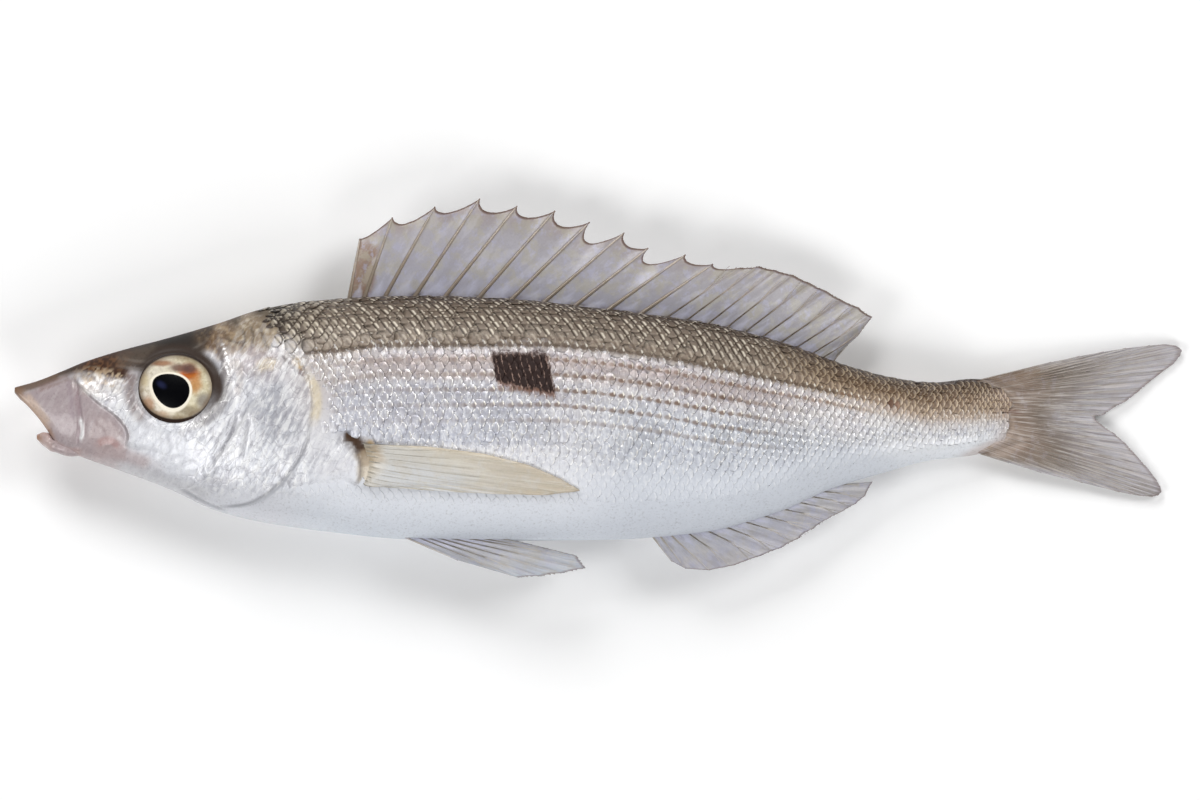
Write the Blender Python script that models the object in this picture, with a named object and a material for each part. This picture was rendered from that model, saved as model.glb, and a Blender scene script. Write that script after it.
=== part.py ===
"""A whole raw picarel, a small silver sea fish, lying on its right side with its fins spread.

The fish is worked out in millimetres: along from the snout, up from a level line through the body, and out
from the middle plane, to the left. It is then placed in metres, with +X towards the tail, +Y towards the back
and +Z up, out of the left flank. The origin is on the surface under the fish, at the middle of its length and
height.
"""

import math

import bmesh
import bpy
import numpy as np
from mathutils import Matrix, Vector

MM = 0.001

# Driving dimensions, in millimetres
TOTAL_LENGTH = 175.4
HIGHEST = 30.2
LOWEST = -26.6
HALF_WIDTH = 10.5
FLAT_DEPTH = 0.6
FLESH_LENGTH = 150.6
DROOP_START = 98.0
TAIL_END_Z = 1.1

# Distance from the snout, height of the back, height of the belly, half width as a share of HALF_WIDTH
BODY_STATIONS = (
    (0.0, 1.9, 1.3, 0.07),
    (3.2, 2.8, -2.7, 0.20),
    (6.8, 4.2, -7.3, 0.31),
    (10.4, 5.7, -8.7, 0.40),
    (15.8, 7.4, -10.6, 0.51),
    (23.0, 9.3, -13.3, 0.64),
    (30.2, 11.4, -16.6, 0.77),
    (37.4, 13.7, -18.4, 0.88),
    (46.4, 15.0, -19.7, 0.95),
    (59.3, 15.6, -20.9, 0.99),
    (72.8, 15.2, -21.1, 1.00),
    (87.8, 13.7, -21.0, 0.96),
    (102.8, 11.7, -19.9, 0.84),
    (114.8, 8.7, -16.7, 0.69),
    (122.3, 6.0, -13.4, 0.57),
    (129.8, 3.7, -11.1, 0.45),
    (137.3, 2.6, -9.1, 0.35),
    (144.0, 3.2, -8.3, 0.25),
    (FLESH_LENGTH, 1.6, -6.4, 0.08),
)
LOWER_JAW_STATIONS = (
    (3.3, -5.2, -5.9, 0.09),
    (4.3, -4.6, -6.9, 0.19),
    (6.0, -4.8, -7.8, 0.26),
    (8.4, -5.4, -8.5, 0.30),
    (11.0, -6.0, -8.2, 0.22),
)

# The section of the body: how square it is, and where it is widest as a share of its height
SECTION_POWER = 2.25
WIDEST_SHARE = 0.54
# Skin that is asked for above this share of the height is drawn in, so that a plate can't wrap over the back
SKIN_LIMIT = 0.9
SKIN_EASE = 0.08
BODY_RINGS = 48
BODY_POINTS = 30
JAW_RINGS = 7
JAW_POINTS = 14
END_CROWDING = 0.09

# The eye: its centre along and up, its radii along, up and out, and how far its middle lies under the skin
EYE_ALONG = 24.2
EYE_UP = 1.8
EYE_RADII = (6.1, 5.35, 1.9)
EYE_DEPTH = 0.8
EYE_GAP = 0.3
EYE_SEGMENTS = 22
EYE_RINGS = 11

# The mouth: a hollow behind the lips, its centre, radii and slope
MOUTH_CENTRE = (3.6, -2.7)
MOUTH_RADII = (3.0, 1.1, 1.3)
MOUTH_SLOPE = -52.0

# How far a plate or a fin is sunk into the body that carries it
SINK = 0.9

# Dorsal fin: for each ray its root along the back, its tip, and how far the web behind the tip draws in
DORSAL_RAYS = (
    (50.0, (51.7, 24.2), 0.5),
    (52.1, (56.6, 27.4), 1.7),
    (55.0, (63.0, 29.0), 1.6),
    (59.4, (69.7, HIGHEST), 1.9),
    (63.8, (75.3, 29.1), 1.8),
    (68.8, (81.0, 28.4), 2.1),
    (73.6, (86.2, 26.7), 3.5),
    (78.4, (91.4, 25.1), 1.4),
    (83.0, (95.0, 22.8), 3.2),
    (87.9, (100.6, 21.8), 1.2),
    (92.8, (104.7, 20.4), 0.9),
    (96.8, (108.9, 19.9), 0.3),
    (99.8, (111.7, 20.1), 0.15),
    (103.1, (114.2, 19.5), 0.15),
    (105.9, (116.8, 18.8), 0.1),
    (108.6, (119.3, 17.6), 0.1),
    (111.2, (121.8, 16.4), 0.1),
    (114.0, (124.2, 15.0), 0.1),
    (116.3, (126.7, 13.9), 0.15),
    (118.7, (128.7, 12.5), 0.1),
    (120.3, (126.5, 9.6), 0.1),
    (122.3, (123.9, 7.3), 0.0),
)

# Anal fin: for each ray its root along the belly, its tip, and how far the web behind the tip draws in
ANAL_RAYS = (
    (95.1, (99.2, -25.1), 0.2),
    (97.4, (104.2, -25.55), 0.1),
    (100.0, (108.0, -24.8), 0.1),
    (102.6, (111.9, -23.4), 0.1),
    (105.4, (115.0, -22.2), 0.15),
    (108.2, (117.8, -20.7), 0.3),
    (111.0, (119.9, -19.3), 0.2),
    (113.9, (122.1, -17.8), 0.15),
    (116.5, (124.3, -16.7), 0.15),
    (118.3, (126.2, -15.6), 0.1),
    (119.8, (127.6, -14.4), 0.1),
    (121.0, (128.7, -12.3), 0.0),
)

# Tail fin: the root and the tip of each outer ray and of the rays beside the fork
TAIL_RAYS = (
    ((141.5, 2.1), (158.0, 7.6), 0.0),
    ((143.5, 2.3), (166.5, 8.0), 0.0),
    ((145.5, 2.1), (TOTAL_LENGTH, 7.5), 0.0),
    ((146.3, 1.6), (173.6, 5.4), 0.1),
    ((147.0, 1.0), (171.0, 3.0), 0.1),
    ((147.4, 0.4), (168.3, 0.8), 0.1),
    ((147.7, -0.3), (165.3, -1.1), 0.1),
    ((147.9, -1.0), (163.4, -2.2), 0.1),
    ((148.0, -1.8), (162.1, -2.4), 0.2),
    ((148.0, -2.6), (163.2, -4.0), 0.1),
    ((147.9, -3.3), (166.0, -5.9), 0.1),
    ((147.7, -4.0), (168.1, -8.2), 0.1),
    ((147.4, -4.7), (170.2, -10.9), 0.1),
    ((147.0, -5.4), (171.8, -13.4), 0.1),
    ((146.3, -6.1), (171.2, -14.5), 0.1),
    ((145.3, -6.9), (163.0, -13.2), 0.0),
    ((143.8, -7.4), (154.5, -11.0), 0.0),
)

# Pectoral fin, lying along the flank: the root and the tip of each ray
PECTORAL_RAYS = (
    ((53.6, -6.3), (62.0, -6.9), 0.0),
    ((53.9, -7.2), (72.8, -8.6), 0.0),
    ((54.1, -8.2), (80.5, -11.2), 0.0),
    ((54.2, -9.2), (84.7, -13.6), 0.1),
    ((54.2, -10.1), (78.0, -13.9), 0.1),
    ((54.1, -11.0), (71.0, -13.8), 0.1),
    ((53.8, -11.8), (65.0, -13.5), 0.1),
    ((53.4, -12.6), (58.5, -13.0), 0.0),
)

# Pelvic fin: the root and the tip of each ray, from the spine to the innermost ray
PELVIC_RAYS = (
    ((58.2, -20.4), (66.5, -24.0), 0.0),
    ((60.0, -20.4), (75.6, LOWEST), 0.2),
    ((61.2, -20.4), (79.0, -26.4), 0.3),
    ((62.5, -20.4), (82.4, -25.9), 0.2),
    ((64.0, -20.4), (85.6, -25.2), 0.15),
    ((65.8, -20.4), (84.3, -23.4), 0.1),
    ((68.0, -20.4), (80.7, -22.5), 0.1),
    ((71.0, -20.4), (75.5, -21.2), 0.0),
)
PELVIC_OUT = 1.9
PELVIC_SPREAD = 1.6
PELVIC_FOLD = 0.7

# Plates of the head: a sunk line and a raised edge, from top to bottom, and the edge's height over the skin
GILL_COVER = (
    ((31.5, 8.2), (30.0, 2.0), (27.5, -5.0), (23.5, -11.0), (19.0, -12.0)),
    ((40.2, 7.6), (44.3, 1.5), (43.6, -8.0), (38.2, -15.4), (28.5, -17.0)),
    0.75,
)
FORE_GILL_COVER = (
    ((27.0, 6.0), (28.5, 0.5), (25.0, -5.5), (20.0, -8.0), (14.0, -8.0)),
    ((31.2, 7.0), (33.3, 0.0), (31.2, -8.5), (25.8, -13.2), (18.5, -11.5)),
    0.45,
)
CHEEK_PLATE = (
    ((17.5, 4.6), (17.0, 1.0), (18.0, -3.0), (19.5, -5.5), (20.5, -7.5)),
    ((9.9, 4.4), (12.4, 1.4), (15.6, -1.3), (17.2, -4.4), (17.0, -6.8)),
    0.4,
)
SHOULDER = (
    ((46.8, -5.4), (46.5, -8.0), (46.6, -11.0), (47.2, -13.0)),
    ((50.6, -5.9), (52.3, -7.9), (52.3, -10.7), (50.8, -12.8)),
    0.9,
)
PLATE_ROOT_DEPTH = 0.25
PLATE_COLUMNS = 15
PLATE_ROWS = 3

# Thicknesses of the fins: of the web, of a ray at its root and of a ray at its tip
WEB = 0.36
FIN_STYLES = {
    "dorsal": {"rows": 4, "shares": (0.0, 0.12, 0.4, 0.88), "root": 1.1, "tip": 0.5},
    "anal": {"rows": 3, "shares": (0.0, 0.16, 0.84), "root": 0.9, "tip": 0.5},
    "tail": {"rows": 5, "shares": (0.0, 0.3, 0.7), "root": 1.2, "tip": 0.5},
    "paired": {"rows": 4, "shares": (0.0, 0.25, 0.75), "root": 0.8, "tip": 0.45},
}
PECTORAL_LIFT = 0.5
PECTORAL_ARCH = 0.35

# How far the tips of the upright fins sag to the floor, and how far their edges wave to each side
DORSAL_SAG, DORSAL_WAVE = 1.4, 0.35
ANAL_SAG, ANAL_WAVE = 0.8, 0.2
TAIL_SAG, TAIL_WAVE = 0.0, 0.25


def smooth_step(value):
    share = min(max(value, 0.0), 1.0)
    return share * share * (3 - 2 * share)


def curve_through(knots, values):
    """A smooth function through the values at the knots, which never overshoots between two of them."""
    knots, values = np.array(knots, float), np.array(values, float)
    steps = np.diff(values) / np.diff(knots)
    before, after = steps[:-1], steps[1:]
    same_way = before * after > 0
    slopes = np.zeros(len(knots))
    slopes[0], slopes[-1] = steps[0], steps[-1]
    slopes[1:-1][same_way] = (2 * before * after)[same_way] / (before + after)[same_way]

    def value_at(knot):
        i = int(np.clip(np.searchsorted(knots, knot) - 1, 0, len(knots) - 2))
        gap = knots[i + 1] - knots[i]
        t = min(max((knot - knots[i]) / gap, 0.0), 1.0)
        return (
            (2 * t**3 - 3 * t**2 + 1) * values[i]
            + (t**3 - 2 * t**2 + t) * gap * slopes[i]
            + (3 * t**2 - 2 * t**3) * values[i + 1]
            + (t**3 - t**2) * gap * slopes[i + 1]
        )

    return value_at


def even_curve(points, count):
    """count points evenly spaced along a smooth curve through the given ones."""
    points = np.array(points, float)
    ends = np.vstack([2 * points[0] - points[1], points, 2 * points[-1] - points[-2]])
    fine = []
    for a, b, c, d in zip(ends, ends[1:], ends[2:], ends[3:]):
        for t in np.linspace(0, 1, 16, endpoint=False):
            bend = (2 * a - 5 * b + 4 * c - d) * t**2 + (3 * b - a - 3 * c + d) * t**3
            fine.append(b + ((c - a) * t + bend) / 2)
    fine = np.array([*fine, points[-1]])
    lengths = np.concatenate([[0], np.cumsum(np.linalg.norm(np.diff(fine, axis=0), axis=1))])
    wanted = np.linspace(0, lengths[-1], count)
    return np.column_stack([np.interp(wanted, lengths, fine[:, axis]) for axis in range(2)])


class Profile:
    """The outline and the sections of a lofted body."""

    def __init__(self, stations):
        along, back, belly, width = zip(*stations)
        self.start, self.end = along[0], along[-1]
        self.back = curve_through(along, back)
        self.belly = curve_through(along, belly)
        self.half_width = curve_through(along, [share * HALF_WIDTH for share in width])

    def middle(self, along):
        return self.belly(along) + WIDEST_SHARE * (self.back(along) - self.belly(along))

    def point(self, along, angle):
        """The skin at this angle round the section: 0 is the left flank and a quarter turn is the back."""
        across, upright = math.cos(angle), math.sin(angle)
        middle = self.middle(along)
        reach = (self.back(along) if upright > 0 else self.belly(along)) - middle
        up = middle + reach * abs(upright) ** (2 / SECTION_POWER)
        out = self.half_width(along) * math.copysign(abs(across) ** (2 / SECTION_POWER), across)
        return Vector((along, up, out))

    def skin(self, along, up, side=1, lift=0.0):
        """The skin of one side at this height, raised by lift along its normal."""
        middle = self.middle(along)
        reach = abs((self.back(along) if up > middle else self.belly(along)) - middle)
        asked = abs(up - middle) / reach
        share = min(asked, SKIN_LIMIT) + SKIN_EASE * math.tanh(max(asked - SKIN_LIMIT, 0) / SKIN_EASE)
        angle = math.copysign(math.asin(share ** (SECTION_POWER / 2)), up - middle)
        here = self.point(along, angle)
        forward = self.point(along + 0.1, angle) - self.point(along - 0.1, angle)
        turn = self.point(along, angle + 0.02) - self.point(along, angle - 0.02)
        raised = here + forward.cross(turn).normalized() * lift
        return Vector((raised.x, raised.y, raised.z * side))


BODY = Profile(BODY_STATIONS)
LOWER_JAW = Profile(LOWER_JAW_STATIONS)


def middle_height(along):
    """Height of the middle plane over the floor: level in the trunk, sinking to the floor along the tail."""
    trunk_z = HALF_WIDTH - FLAT_DEPTH
    droop = smooth_step((along - DROOP_START) / (TOTAL_LENGTH - DROOP_START))
    return trunk_z + (TAIL_END_Z - trunk_z) * droop


def placed(point):
    """A point of the fish, in millimetres along, up and out, as a place in metres."""
    along, up, out = point
    level = -(HIGHEST + LOWEST) / 2
    return Vector((along - TOTAL_LENGTH / 2, up + level, out + middle_height(along))) * MM


def new_material(name, colour, roughness, metallic=0.0):
    material = bpy.data.materials.new(name)
    material.use_nodes = True
    shader = material.node_tree.nodes["Principled BSDF"]
    shader.inputs["Base Color"].default_value = (*colour, 1.0)
    shader.inputs["Roughness"].default_value = roughness
    shader.inputs["Metallic"].default_value = metallic
    return material


def new_object(name, mesh_data, material, collection=None):
    """Makes an object from a bmesh with its faces turned outwards."""
    bmesh.ops.recalc_face_normals(mesh_data, faces=mesh_data.faces)
    mesh = bpy.data.meshes.new(name)
    mesh_data.to_mesh(mesh)
    mesh_data.free()
    mesh.materials.append(material)
    obj = bpy.data.objects.new(name, mesh)
    (collection or bpy.context.scene.collection).objects.link(obj)
    return obj


def loft(name, profile, rings, points, material, collection=None):
    """A closed body through the sections of a profile, with more rings near its ends."""
    mesh_data = bmesh.new()
    length = profile.end - profile.start
    loops = []
    for ring in range(rings):
        share = ring / (rings - 1)
        eased = share - END_CROWDING * math.sin(2 * math.pi * share)
        along = profile.start + length * eased
        angles = [2 * math.pi * (i + 0.5) / points for i in range(points)]
        loops.append([mesh_data.verts.new(placed(profile.point(along, a))) for a in angles])
    for first, second in zip(loops, loops[1:]):
        for i in range(points):
            j = (i + 1) % points
            mesh_data.faces.new((first[i], first[j], second[j], second[i]))
    for end in (loops[0], loops[-1]):
        bmesh.ops.contextual_create(mesh_data, geom=end)
    return new_object(name, mesh_data, material, collection)


def closed_sheet(name, left, right, material, collection):
    """A thin closed body between two grids of points, joined round their borders."""
    mesh_data = bmesh.new()
    rows, columns = len(left), len(left[0])
    grids = [[[mesh_data.verts.new(placed(p)) for p in row] for row in grid] for grid in (left, right)]
    for grid in grids:
        for r in range(rows - 1):
            for c in range(columns - 1):
                mesh_data.faces.new((grid[r][c], grid[r][c + 1], grid[r + 1][c + 1], grid[r + 1][c]))
    border = [(0, c) for c in range(columns)]
    border += [(r, columns - 1) for r in range(1, rows)]
    border += [(rows - 1, c) for c in range(columns - 2, -1, -1)]
    border += [(r, 0) for r in range(rows - 2, 0, -1)]
    for (r, c), (r2, c2) in zip(border, border[1:] + border[:1]):
        mesh_data.faces.new((grids[0][r][c], grids[0][r2][c2], grids[1][r2][c2], grids[1][r][c]))
    return new_object(name, mesh_data, material, collection)


def web_columns(rays, shares):
    """Columns from one ray to the next: the root, the web's edge there, and 1 on a ray or 0 on the web."""
    columns = []
    for (root, tip, draw), (next_root, next_tip, _) in zip(rays, rays[1:]):
        for share in shares:
            base = Vector(root).lerp(Vector(next_root), share)
            edge = Vector(tip).lerp(Vector(next_tip), share)
            inwards = (base - edge).normalized() * draw * math.sin(math.pi * share**0.6)
            columns.append((base, edge + inwards, 1.0 if share == 0 else 0.0))
    root, tip, _ = rays[-1]
    columns.append((Vector(root), Vector(tip), 1.0))
    return columns


def fin(name, rays, style, place, material, collection):
    """A fin of rays joined by a web. place turns a point of the fin's plane, its share from root to edge, its
    share across the fin, and its offset to the left or right into a point of the fish."""
    columns = web_columns(rays, style["shares"])
    left, right = [], []
    for row in range(style["rows"] + 1):
        share = row / style["rows"]
        thickness = style["root"] + (style["tip"] - style["root"]) * share
        for grid, side in ((left, 1), (right, -1)):
            line = []
            for number, (base, edge, ray) in enumerate(columns):
                half = (WEB + (thickness - WEB) * ray) / 2
                line.append(place(base.lerp(edge, share), share, number / (len(columns) - 1), half * side))
            grid.append(line)
    return closed_sheet(name, left, right, material, collection)


def upright_fin(sag, wave):
    """A place function for a fin of the middle plane, which sags a little towards the floor and waves."""

    def place(point, share, across, offset):
        ripple = wave * share * math.sin(across * 5 * math.pi)
        return (point.x, point.y, offset - sag * share * share + ripple)

    return place


def flank_fin(side):
    """A place function for a pectoral fin, which lies along the flank with its inner face under the skin."""

    def place(point, share, across, offset):
        arch = math.sin(math.pi * min(share * 1.6, 1.0)) * PECTORAL_ARCH
        lift = PECTORAL_LIFT + arch + offset if offset > 0 else -SINK
        return BODY.skin(point.x, point.y, side, lift)

    return place


def belly_fin(side):
    """A place function for a pelvic fin, which leans outwards from the belly."""

    def place(point, share, across, offset):
        lean = PELVIC_OUT + PELVIC_SPREAD * share * (1 - PELVIC_FOLD * across)
        return (point.x, point.y, side * lean + offset)

    return place


def rooted(rays, line, depth):
    """Rays whose roots lie under the body's outline. line is the back or the belly of the profile."""
    return [((along, line(along) + depth), tip, draw) for along, tip, draw in rays]


def head_plate(name, plate, side, material, collection):
    """A plate of the head that rises from a sunk line to a raised edge."""
    sunk_line, edge_line, height = plate
    roots = even_curve(sunk_line, PLATE_COLUMNS)
    edges = even_curve(edge_line, PLATE_COLUMNS)
    outer, inner = [], []
    for row in range(PLATE_ROWS + 1):
        share = row / PLATE_ROWS
        line = roots + (edges - roots) * share
        rise = (height + PLATE_ROOT_DEPTH) * share**0.8 - PLATE_ROOT_DEPTH
        outer.append([BODY.skin(along, up, side, rise) for along, up in line])
        inner.append([BODY.skin(along, up, side, -SINK) for along, up in line])
    return closed_sheet(name, outer, inner, material, collection)


def eye_placement(side):
    """A matrix that stands on the middle of the eye, with its Z axis out of the head."""
    centre = placed(BODY.skin(EYE_ALONG, EYE_UP, side, -EYE_DEPTH))
    outwards = (placed(BODY.skin(EYE_ALONG, EYE_UP, side, 1.0)) - centre).normalized()
    forward = Vector((1, 0, 0)) - outwards * outwards.x
    forward.normalize()
    turn = Matrix((forward, outwards.cross(forward), outwards)).transposed().to_4x4()
    return Matrix.Translation(centre) @ turn


def spheroid(name, radii, placement, material, segments, rings):
    """A ball stretched to its radii, in millimetres, and set in place."""
    mesh_data = bmesh.new()
    bmesh.ops.create_uvsphere(mesh_data, u_segments=segments, v_segments=rings, radius=1.0)
    bmesh.ops.scale(mesh_data, vec=Vector(radii) * MM, verts=mesh_data.verts)
    obj = new_object(name, mesh_data, material)
    obj.matrix_world = placement
    return obj


def block_under_floor(material):
    """A block whose top is the surface that the fish lies on."""
    mesh_data = bmesh.new()
    bmesh.ops.create_cube(mesh_data, size=1.0)
    bmesh.ops.scale(mesh_data, vec=Vector((TOTAL_LENGTH, 80, 10)) * MM, verts=mesh_data.verts)
    bmesh.ops.translate(mesh_data, vec=Vector((0, 0, -5 * MM)), verts=mesh_data.verts)
    return new_object("floor_block", mesh_data, material)


def apply_boolean(obj, operation, cutter=None, collection=None):
    modifier = obj.modifiers.new(operation.lower(), "BOOLEAN")
    modifier.operation = operation
    modifier.solver = "MANIFOLD"  # EXACT leaves open edges where the thin fins meet the body
    if collection:
        modifier.operand_type = "COLLECTION"
        modifier.collection = collection
    else:
        modifier.object = cutter
    with bpy.context.temp_override(object=obj):
        bpy.ops.object.modifier_apply(modifier=modifier.name)


def remove_objects(objects):
    for obj in list(objects):
        bpy.data.objects.remove(obj)


def make_fins(skin, pieces):
    fin(
        "dorsal_fin", rooted(DORSAL_RAYS, BODY.back, -SINK), FIN_STYLES["dorsal"],
        upright_fin(DORSAL_SAG, DORSAL_WAVE), skin, pieces,
    )
    fin(
        "anal_fin", rooted(ANAL_RAYS, BODY.belly, SINK), FIN_STYLES["anal"],
        upright_fin(ANAL_SAG, ANAL_WAVE), skin, pieces,
    )
    fin("tail_fin", TAIL_RAYS, FIN_STYLES["tail"], upright_fin(TAIL_SAG, TAIL_WAVE), skin, pieces)
    for side, word in ((1, "left"), (-1, "right")):
        fin(f"pectoral_fin_{word}", PECTORAL_RAYS, FIN_STYLES["paired"], flank_fin(side), skin, pieces)
        fin(f"pelvic_fin_{word}", PELVIC_RAYS, FIN_STYLES["paired"], belly_fin(side), skin, pieces)


def make_head_plates(skin, pieces):
    plates = {
        "gill_cover": GILL_COVER,
        "fore_gill_cover": FORE_GILL_COVER,
        "cheek_plate": CHEEK_PLATE,
        "shoulder": SHOULDER,
    }
    for name, plate in plates.items():
        for side, word in ((1, "left"), (-1, "right")):
            head_plate(f"{name}_{word}", plate, side, skin, pieces)


def make_fish(skin):
    """The whole fish but for its eyes, as one solid."""
    fish = loft("fish", BODY, BODY_RINGS, BODY_POINTS, skin)
    pieces = bpy.data.collections.new("joined_to_the_body")
    bpy.context.scene.collection.children.link(pieces)
    loft("lower_jaw", LOWER_JAW, JAW_RINGS, JAW_POINTS, skin, pieces)
    make_head_plates(skin, pieces)
    make_fins(skin, pieces)
    apply_boolean(fish, "UNION", collection=pieces)
    remove_objects(pieces.objects)
    bpy.data.collections.remove(pieces)

    mouth_turn = Matrix.Rotation(math.radians(MOUTH_SLOPE), 4, "Z")
    mouth_place = Matrix.Translation(placed((*MOUTH_CENTRE, 0.0))) @ mouth_turn
    cutters = [block_under_floor(skin), spheroid("mouth_cutter", MOUTH_RADII, mouth_place, skin, 16, 8)]
    socket_radii = [radius + EYE_GAP for radius in EYE_RADII]
    for side, word in ((1, "left"), (-1, "right")):
        name = f"eye_socket_{word}"
        cutters.append(spheroid(name, socket_radii, eye_placement(side), skin, EYE_SEGMENTS, EYE_RINGS))
    bpy.context.view_layer.update()
    for cutter in cutters:
        apply_boolean(fish, "DIFFERENCE", cutter=cutter)
    remove_objects(cutters)
    return fish


def make_eyes(material):
    for side, word in ((1, "left"), (-1, "right")):
        eye = spheroid(f"eye_{word}", EYE_RADII, eye_placement(side), material, EYE_SEGMENTS, EYE_RINGS)
        eye.data.shade_smooth()


def main():
    for obj in list(bpy.data.objects):
        bpy.data.objects.remove(obj)
    skin = new_material("silver_skin", (0.55, 0.53, 0.52), 0.32, 0.25)
    eye_material = new_material("eye", (0.45, 0.37, 0.28), 0.08)
    fish = make_fish(skin)
    fish.data.shade_smooth()
    fish.data.set_sharp_from_angle(angle=math.radians(35))
    make_eyes(eye_material)


main()
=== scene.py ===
import math

import bmesh
import bpy
import numpy as np
from mathutils import Matrix, Vector


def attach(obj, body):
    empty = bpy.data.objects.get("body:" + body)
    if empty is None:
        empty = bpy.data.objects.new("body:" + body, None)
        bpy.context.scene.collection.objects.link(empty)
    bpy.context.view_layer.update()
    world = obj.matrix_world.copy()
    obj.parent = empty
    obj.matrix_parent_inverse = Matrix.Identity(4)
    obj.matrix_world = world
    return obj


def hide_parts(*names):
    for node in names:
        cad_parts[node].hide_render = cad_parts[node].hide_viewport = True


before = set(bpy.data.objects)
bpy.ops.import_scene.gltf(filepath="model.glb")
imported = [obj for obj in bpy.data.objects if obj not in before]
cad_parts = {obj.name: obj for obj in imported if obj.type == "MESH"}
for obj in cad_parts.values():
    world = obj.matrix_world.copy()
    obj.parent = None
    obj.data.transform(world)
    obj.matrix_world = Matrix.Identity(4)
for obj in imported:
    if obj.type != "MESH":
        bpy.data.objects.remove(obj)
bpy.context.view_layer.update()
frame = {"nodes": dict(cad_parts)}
print("frame loaded, nodes:", ", ".join(frame["nodes"]))

# The fish is worked out in millimetres: along from the snout, up from a level line, out of the middle plane.
fishSize = {
    "length": 175.4,
    "fleshLength": 150.6,
    "level": 1.8,
    "halfWidth": 10.5,
    "flatDepth": 0.6,
    "droopStart": 98.0,
    "tailEndZ": 1.1,
    "sectionPower": 2.25,
    "widestShare": 0.54,
    "skinLimit": 0.9,
    "skinEase": 0.08,
    "floorSoftness": 0.08,
    "chanceSeed": 21,
}
random = np.random.default_rng(fishSize["chanceSeed"])
# along, height of the back, height of the belly, half width as a share of the widest
bodyStations = (
    (0.0, 1.9, 1.3, 0.07),
    (3.2, 2.8, -2.7, 0.20),
    (6.8, 4.2, -7.3, 0.31),
    (10.4, 5.7, -8.7, 0.40),
    (15.8, 7.4, -10.6, 0.51),
    (23.0, 9.3, -13.3, 0.64),
    (30.2, 11.4, -16.6, 0.77),
    (37.4, 13.7, -18.4, 0.88),
    (46.4, 15.0, -19.7, 0.95),
    (59.3, 15.6, -20.9, 0.99),
    (72.8, 15.2, -21.1, 1.00),
    (87.8, 13.7, -21.0, 0.96),
    (102.8, 11.7, -19.9, 0.84),
    (114.8, 8.7, -16.7, 0.69),
    (122.3, 6.0, -13.4, 0.57),
    (129.8, 3.7, -11.1, 0.45),
    (137.3, 2.6, -9.1, 0.35),
    (144.0, 3.2, -8.3, 0.25),
    (150.6, 1.6, -6.4, 0.08),
)
jawStations = (
    (3.3, -5.2, -5.9, 0.09),
    (4.3, -4.6, -6.9, 0.19),
    (6.0, -4.8, -7.8, 0.26),
    (8.4, -5.4, -8.5, 0.30),
    (11.0, -6.0, -8.2, 0.22),
)
lateralLine = (
    (0.0, 2.4), (24.0, 5.6), (45.5, 7.2), (57.8, 8.25), (77.9, 8.3), (87.8, 7.65), (97.1, 6.5),
    (106.2, 4.65), (117.8, 2.25), (129.8, -0.3), (138.8, -2.1), (147.8, -1.95), (151.0, -1.9),
)


# Curves and small numbers
def smoothStep(value):
    share = np.clip(value, 0.0, 1.0)
    return share * share * (3 - 2 * share)


def between(value, low, high):
    return smoothStep((value - low) / (high - low))


def within(value, rise, fall):
    # rises over the first pair of places and falls again over the second
    return between(value, *rise) * (1 - between(value, *fall))


def bell(value, middle, width):
    return np.exp(-(((value - middle) / width) ** 2))


def linear(*colour):
    share = np.array(colour, float) / 255
    return np.where(share <= 0.04045, share / 12.92, ((share + 0.055) / 1.055) ** 2.4)


def curveThrough(knots, values):
    # a smooth function through the values, which never overshoots between two of them
    knots, values = np.array(knots, float), np.array(values, float)
    steps = np.diff(values) / np.diff(knots)
    before, after = steps[:-1], steps[1:]
    sameWay = before * after > 0
    slopes = np.zeros(len(knots))
    slopes[0], slopes[-1] = steps[0], steps[-1]
    slopes[1:-1][sameWay] = (2 * before * after)[sameWay] / (before + after)[sameWay]

    def valueAt(knot):
        knot = np.asarray(knot, float)
        i = np.clip(np.searchsorted(knots, knot) - 1, 0, len(knots) - 2)
        gap = knots[i + 1] - knots[i]
        t = np.clip((knot - knots[i]) / gap, 0.0, 1.0)
        start = (2 * t**3 - 3 * t**2 + 1) * values[i] + (t**3 - 2 * t**2 + t) * gap * slopes[i]
        return start + (3 * t**2 - 2 * t**3) * values[i + 1] + (t**3 - t**2) * gap * slopes[i + 1]

    return valueAt


def evenCurve(points, count):
    # count points evenly spaced along a smooth curve through the given ones
    points = np.array(points, float)
    if len(points) == 1:
        return points
    ends = np.vstack([2 * points[0] - points[1], points, 2 * points[-1] - points[-2]])
    fine = []
    for a, b, c, d in zip(ends, ends[1:], ends[2:], ends[3:]):
        for t in np.linspace(0, 1, 16, endpoint=False):
            bend = (2 * a - 5 * b + 4 * c - d) * t**2 + (3 * b - a - 3 * c + d) * t**3
            fine.append(b + ((c - a) * t + bend) / 2)
    fine = np.array([*fine, points[-1]])
    lengths = np.concatenate([[0], np.cumsum(np.linalg.norm(np.diff(fine, axis=0), axis=1))])
    wanted = np.linspace(0, lengths[-1], count)
    return np.column_stack([np.interp(wanted, lengths, fine[:, axis]) for axis in range(points.shape[1])])


def fieldOf(along, up, path):
    # for each place: how far it is from a path, on which side of it, and how far along the path that is
    spot = np.column_stack([along, up])
    if len(path) == 1:
        return np.linalg.norm(spot - path[0], axis=1), np.ones(len(spot)), np.full(len(spot), 0.5)
    best, side, share = np.full(len(spot), 1e9), np.ones(len(spot)), np.zeros(len(spot))
    for i, (a, b) in enumerate(zip(path, path[1:])):
        way = b - a
        t = np.clip((spot - a) @ way / (way @ way), 0, 1)
        gap = spot - (a + t[:, None] * way)
        distance = np.linalg.norm(gap, axis=1)
        closer = distance < best
        best = np.where(closer, distance, best)
        side = np.where(closer, np.sign(way[0] * gap[:, 1] - way[1] * gap[:, 0]), side)
        share = np.where(closer, (i + t) / (len(path) - 1), share)
    return best, side, share


latticeOfChance = random.random((4, 128, 128))


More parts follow.
